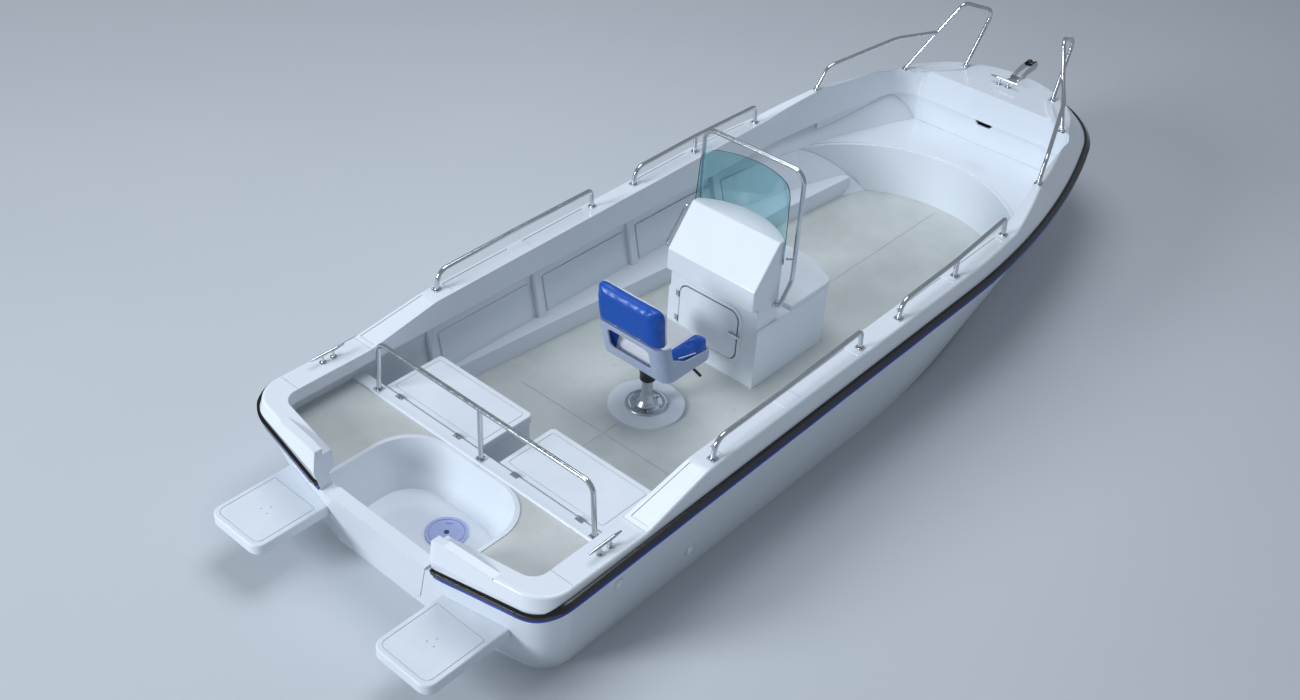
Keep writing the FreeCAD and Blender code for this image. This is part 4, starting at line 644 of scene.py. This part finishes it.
def laid(name, points, radius, body, made, slot, closed=False, step=0.006):
    """A round section along these points, rounded off between them."""
    line = [Vector(p) for p in points if p]
    for _ in range(2):
        middle = []
        for a, b in zip(line, line[1:] + (line[:1] if closed else [])):
            middle += [a.lerp(b, 0.25), a.lerp(b, 0.75)]
        line = middle if closed else line[:1] + middle + line[-1:]
    count = len(line)
    mesh = bpy.data.meshes.new(name)
    mesh.from_pydata(line, [(k, (k + 1) % count) for k in range(count - (not closed))], [])
    grown(name, mesh, piping, body, slot, Radius=radius, Step=step, Material=made)


def hits(surface, starts, way):
    """The points where rays from these starts meet the surface."""
    spots = [met(surface, start, way) for start in starts]
    return [spot[0] for spot in spots if spot]


white_vinyl = finish("white vinyl piping", ("F2F4F6", "E2E5E9"), mottle=(16.7, 3),
                     roughness=(0.3, 0.42), sheen=(11.1, 3), grain=(1.43, 3),
                     relief=(0.2, 0.0002))
PIPING_RADIUS = 0.0028
EDGE_PIPING_RADIUS = 0.003
SEAM_RAYS = 34
SEAM_FROM_AFT = 0.03
SEAM_FROM_FORE = 0.006
FRONT_DROPS = (0.02, 0.04)
OVER_THE_SEAT = 0.7
top = skin(cushion)
aft_y, fore_y = pan_low.y + SEAM_FROM_AFT, pan_high.y - SEAM_FROM_FORE
for name, side in zip(BOTH, (1, -1)):
    x = side * SEAM_X
    over = hits(top, [(x, aft_y + (fore_y - aft_y) * k / (SEAM_RAYS - 1), OVER_THE_SEAT)
                      for k in range(SEAM_RAYS)], DOWN)
    over += hits(top, [(x, pan_high.y + CLEAR, over[-1].z - down) for down in FRONT_DROPS],
                 (0, -1, 0))
    laid("cushion_seam_piping_" + name, over, PIPING_RADIUS, "seat", white_vinyl,
         "light_plastic")

SIDE_EDGE = ((1.90, 0.520), (1.96, 0.508), (2.02, 0.494), (2.08, 0.482), (2.13, 0.476))
FRONT_EDGE_X = (0.20, 0.16, 0.12, 0.06)
FRONT_EDGE_Z = 0.474


def edge_half(side):
    """The cushion's lower edge on one side, from aft round to the middle of the front."""
    along = hits(top, [(side * (pan_high.x + CLEAR), y, z) for y, z in SIDE_EDGE], (-side, 0, 0))
    across = hits(top, [(side * x, pan_high.y + CLEAR, FRONT_EDGE_Z) for x in FRONT_EDGE_X],
                  (0, -1, 0))
    return along + across


laid("cushion_edge_piping", edge_half(1) + edge_half(-1)[::-1], EDGE_PIPING_RADIUS, "seat",
     white_vinyl, "light_plastic")

rear = skin(back_pad)
back_low, back_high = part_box("seat_back_pad")
centre_z = (back_low.z + back_high.z) / 2
BACK_RAYS = 72
BACK_REACH = 0.6


def back_edge(angle):
    """A point on the back pad's front seam: each ray is level with the last one's hit."""
    way = Vector((math.cos(angle), 0, math.sin(angle)))
    hit, level = None, centre_z
    for _ in range(3):
        start = Vector((0, BACK_FRONT_Y - (level - BACK_LOW_Z) * BACK_LEAN, centre_z))
        found = met(rear, start + way * BACK_REACH, -way)
        if found:
            hit, level = found[0], found[0].z
    return hit


laid("back_pad_piping", [back_edge(2 * math.pi * k / BACK_RAYS) for k in range(BACK_RAYS)],
     PIPING_RADIUS, "seat", white_vinyl, "light_plastic", closed=True)

CAP = [(0.0065, -0.001), (0.0065, 0.0010), (0.0050, 0.0030), (0.0020, 0.0040),
       (0.0004, 0.0041)]
CAPS_X = (-0.08, 0.08)
CAPS_UP = 0.016
caps = [met(rear, (x, back_low.y - CLEAR, back_low.z + CAPS_UP), (0, 1, 0)) for x in CAPS_X]
fasten("back_pad_caps", caps, "seat", turned("cap", CAP), white_vinyl, slot="light_plastic")


# Bead under the rub rail: the rounded lower lip of the navy band, which follows the hull from
# one side of the stern's notch round the bow to the other. Level rays find the band's face.
BEAD_RADIUS = 0.014
BEAD_DOWN = 0.017
BEAD_IN = 0.006
BAND_LOW_Z = 0.40
BAND_STEP = 0.002
BAND_LEVELS = 160
band = skin(cad["rub_stripe"])


def band_spot(x, y, angle, reach):
    """The bead's centre, where level rays from (x, y) at this plan angle meet the band."""
    way = Vector((math.cos(angle), math.sin(angle), 0))
    found = []
    for k in range(BAND_LEVELS):
        point, _, _, far = band.ray_cast(Vector((x, y, BAND_LOW_Z + BAND_STEP * k)), way)
        if point and far < reach:
            found.append(point)
    if not found:
        return None
    level = max(p.z for p in found) - BEAD_DOWN
    return min(found, key=lambda p: abs(p.z - level)) + way * BEAD_IN


def round_centre(centre, radius, reach, degrees):
    """The bead's centres that rays meet on their way in from a circle round this centre."""
    spots = []
    for angle in map(math.radians, degrees):
        spots.append(band_spot(centre[0] + radius * math.cos(angle),
                               centre[1] + radius * math.sin(angle), angle + math.pi, reach))
    return spots


# Half of the bead: the stern from its notch outwards, the quarter, the side and the bow.
BEHIND_STERN = -0.3
NOTCH_X = 0.45
STERN_STEP = 0.05
QUARTER = (0.84, 0.30)
BESIDE_HULL = 1.4
SIDE_FROM_Y = 0.36
SIDE_STEP = 0.103
BOW_CENTRE = (0.0, 3.45)
half = [band_spot(NOTCH_X + STERN_STEP * k, BEHIND_STERN, math.pi / 2, reach=0.7)
        for k in range(8)]
half += round_centre(QUARTER, radius=0.6, reach=0.62, degrees=range(-80, 0, 10))
half += [band_spot(BESIDE_HULL, SIDE_FROM_Y + SIDE_STEP * k, math.pi, reach=0.8)
         for k in range(30)]
half += round_centre(BOW_CENTRE, radius=2.8, reach=2.2, degrees=range(2, 92, 2))
half = [p for p in half if p]
other = [Vector((-p.x, p.y, p.z)) for p in reversed(half[:-1])]
laid("rub_rail_bead", half + other, BEAD_RADIUS, "boat", navy, "navy_stripe", step=0.02)


# Seal round the console's door: a round cord of black sponge rubber, dull and dark, pressed
# into the gap between the door and its frame.
foam = finish("black sponge rubber", ("15171A", "24272B"), mottle=(12.5, 3), grain=(1.11, 3),
              relief=(0.3, 0.0003), Roughness=0.8)
SEAL_RADIUS = 0.0024
SEAL_OUT = 0.003
SEAL_BACK = 0.0035
SEAL_CORNER = 0.058
CORNER_STEPS = 6
door_low, door_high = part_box("console_door")
door_mid = (door_low + door_high) / 2
straight = (door_high - door_low) / 2 - Vector((1, 1, 1)) * (SEAL_CORNER - SEAL_OUT)
seal = []
for corner, (across, upward) in enumerate(((1, 1), (-1, 1), (-1, -1), (1, -1))):
    for k in range(CORNER_STEPS + 1):
        angle = math.radians(90 * (corner + k / CORNER_STEPS))
        seal.append((door_mid.x + across * straight.x + SEAL_CORNER * math.cos(angle),
                     door_high.y - SEAL_BACK,
                     door_mid.z + upward * straight.z + SEAL_CORNER * math.sin(angle)))
laid("console_door_seal", seal, SEAL_RADIUS, "boat", foam, "black_rubber", closed=True)


# Inspection plate in the well: lilac polypropylene, screwed into its ring by hand, with two
# raised wedges to turn it by and a dark blue cap on the middle screw. Both plastics come smooth
# out of their moulds and have a soft, slightly waxy shine.
lilac = finish("moulded lilac polypropylene", ("B2BAE4", "A4AEDC"), mottle=(66.7, 3),
               roughness=(0.22, 0.36), sheen=(16.7, 3), grain=(0.769, 3),
               relief=(0.2, 0.00015), edge=0.002)
dress(["deck_plate"], lilac)

dark_blue = finish("moulded dark blue plastic", ("2C376E", "37437F"), mottle=(16.7, 3),
                   roughness=(0.25, 0.4), sheen=(11.1, 3), grain=(0.769, 3),
                   relief=(0.2, 0.00015))
BOSS = [(0.0125, -0.0010), (0.0125, 0.0020), (0.0112, 0.0032), (0.0060, 0.0034),
        (0.0050, 0.0018), (0.0006, 0.0018)]
plate_low, plate_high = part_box("deck_plate")
plate_mid = (plate_low + plate_high) / 2
middle_spot = met(skin(cad["deck_plate"]), (plate_mid.x, plate_mid.y, plate_high.z + CLEAR), DOWN)
fasten("deck_plate_cap", [middle_spot], "boat", turned("boss", BOSS, sides=24), dark_blue,
       slot="lilac_plastic")


# Floor of the studio: a wide sheet at the level of the water on the hull, painted pale and
# matt, so that the hull's shadow is all that shows on it.
paint = finish("pale studio floor", ("C9CED3", "C2C8CE"), mottle=(1670, 3), Roughness=0.75)
sheet = bmesh.new()
bmesh.ops.create_grid(sheet, x_segments=8, y_segments=8, size=30.0)
mesh = bpy.data.meshes.new("floor")
sheet.to_mesh(mesh)
sheet.free()
mesh.materials.append(paint)
placed("floor", mesh)


# Studio light: one broad soft lamp from aft and port, a weak one overhead, and an even pale
# surround. They are dim enough for the white gelcoat to keep its shading.
world = bpy.data.worlds.new("studio")
bpy.context.scene.world = world
world.use_nodes = True
world.node_tree.nodes["Background"].inputs["Color"].default_value = rgb("DCE6F2")
world.node_tree.nodes["Background"].inputs["Strength"].default_value = 0.36


def lamp(name, place, aim, size, power, colour):
    data = bpy.data.lights.new(name, "AREA")
    data.shape = "DISK"
    data.size = size
    data.energy = power
    data.color = rgb(colour)[:3]
    thing = bpy.data.objects.new(name, data)
    bpy.context.scene.collection.objects.link(thing)
    thing.location = place
    thing.rotation_euler = (Vector(place) - Vector(aim)).to_track_quat("Z", "Y").to_euler()


MIDDLE = (0, 2.2, 0.3)
lamp("key", (-6.0, -14.0, 7.6), MIDDLE, size=6.0, power=2350, colour="F2F8FF")
lamp("overhead", (-1.0, 3.0, 7.5), MIDDLE, size=5.0, power=260, colour="F2F7FF")


# Camera: the photograph's, from astern on the starboard side and well above. Its place, turn
# and lens were solved from points of the boat that are alike on both sides.
FOCAL_PIXELS = 1480.0
PICTURE_WIDTH = 1300.0
AZIMUTH = math.radians(39.80)
ELEVATION = math.radians(36.96)
ROLL = math.radians(3.533)
CAMERA_PLACE = Vector((4.004, -2.891, 5.163))
back = Vector((math.sin(AZIMUTH) * math.cos(ELEVATION),
               -math.cos(AZIMUTH) * math.cos(ELEVATION), math.sin(ELEVATION)))
right = (-back).cross(Vector((0, 0, 1))).normalized()
up = right.cross(-back)
turned_right = math.cos(ROLL) * right + math.sin(ROLL) * up
turned_up = -math.sin(ROLL) * right + math.cos(ROLL) * up
lens = bpy.data.cameras.new("camera")
lens.sensor_width = 36.0
lens.lens = FOCAL_PIXELS / PICTURE_WIDTH * lens.sensor_width
camera = bpy.data.objects.new("camera", lens)
bpy.context.scene.collection.objects.link(camera)
camera.matrix_world = Matrix.Translation(CAMERA_PLACE) @ Matrix(
    (turned_right, turned_up, back)).transposed().to_4x4()
bpy.context.scene.camera = camera
bpy.context.scene.view_settings.view_transform = "Standard"
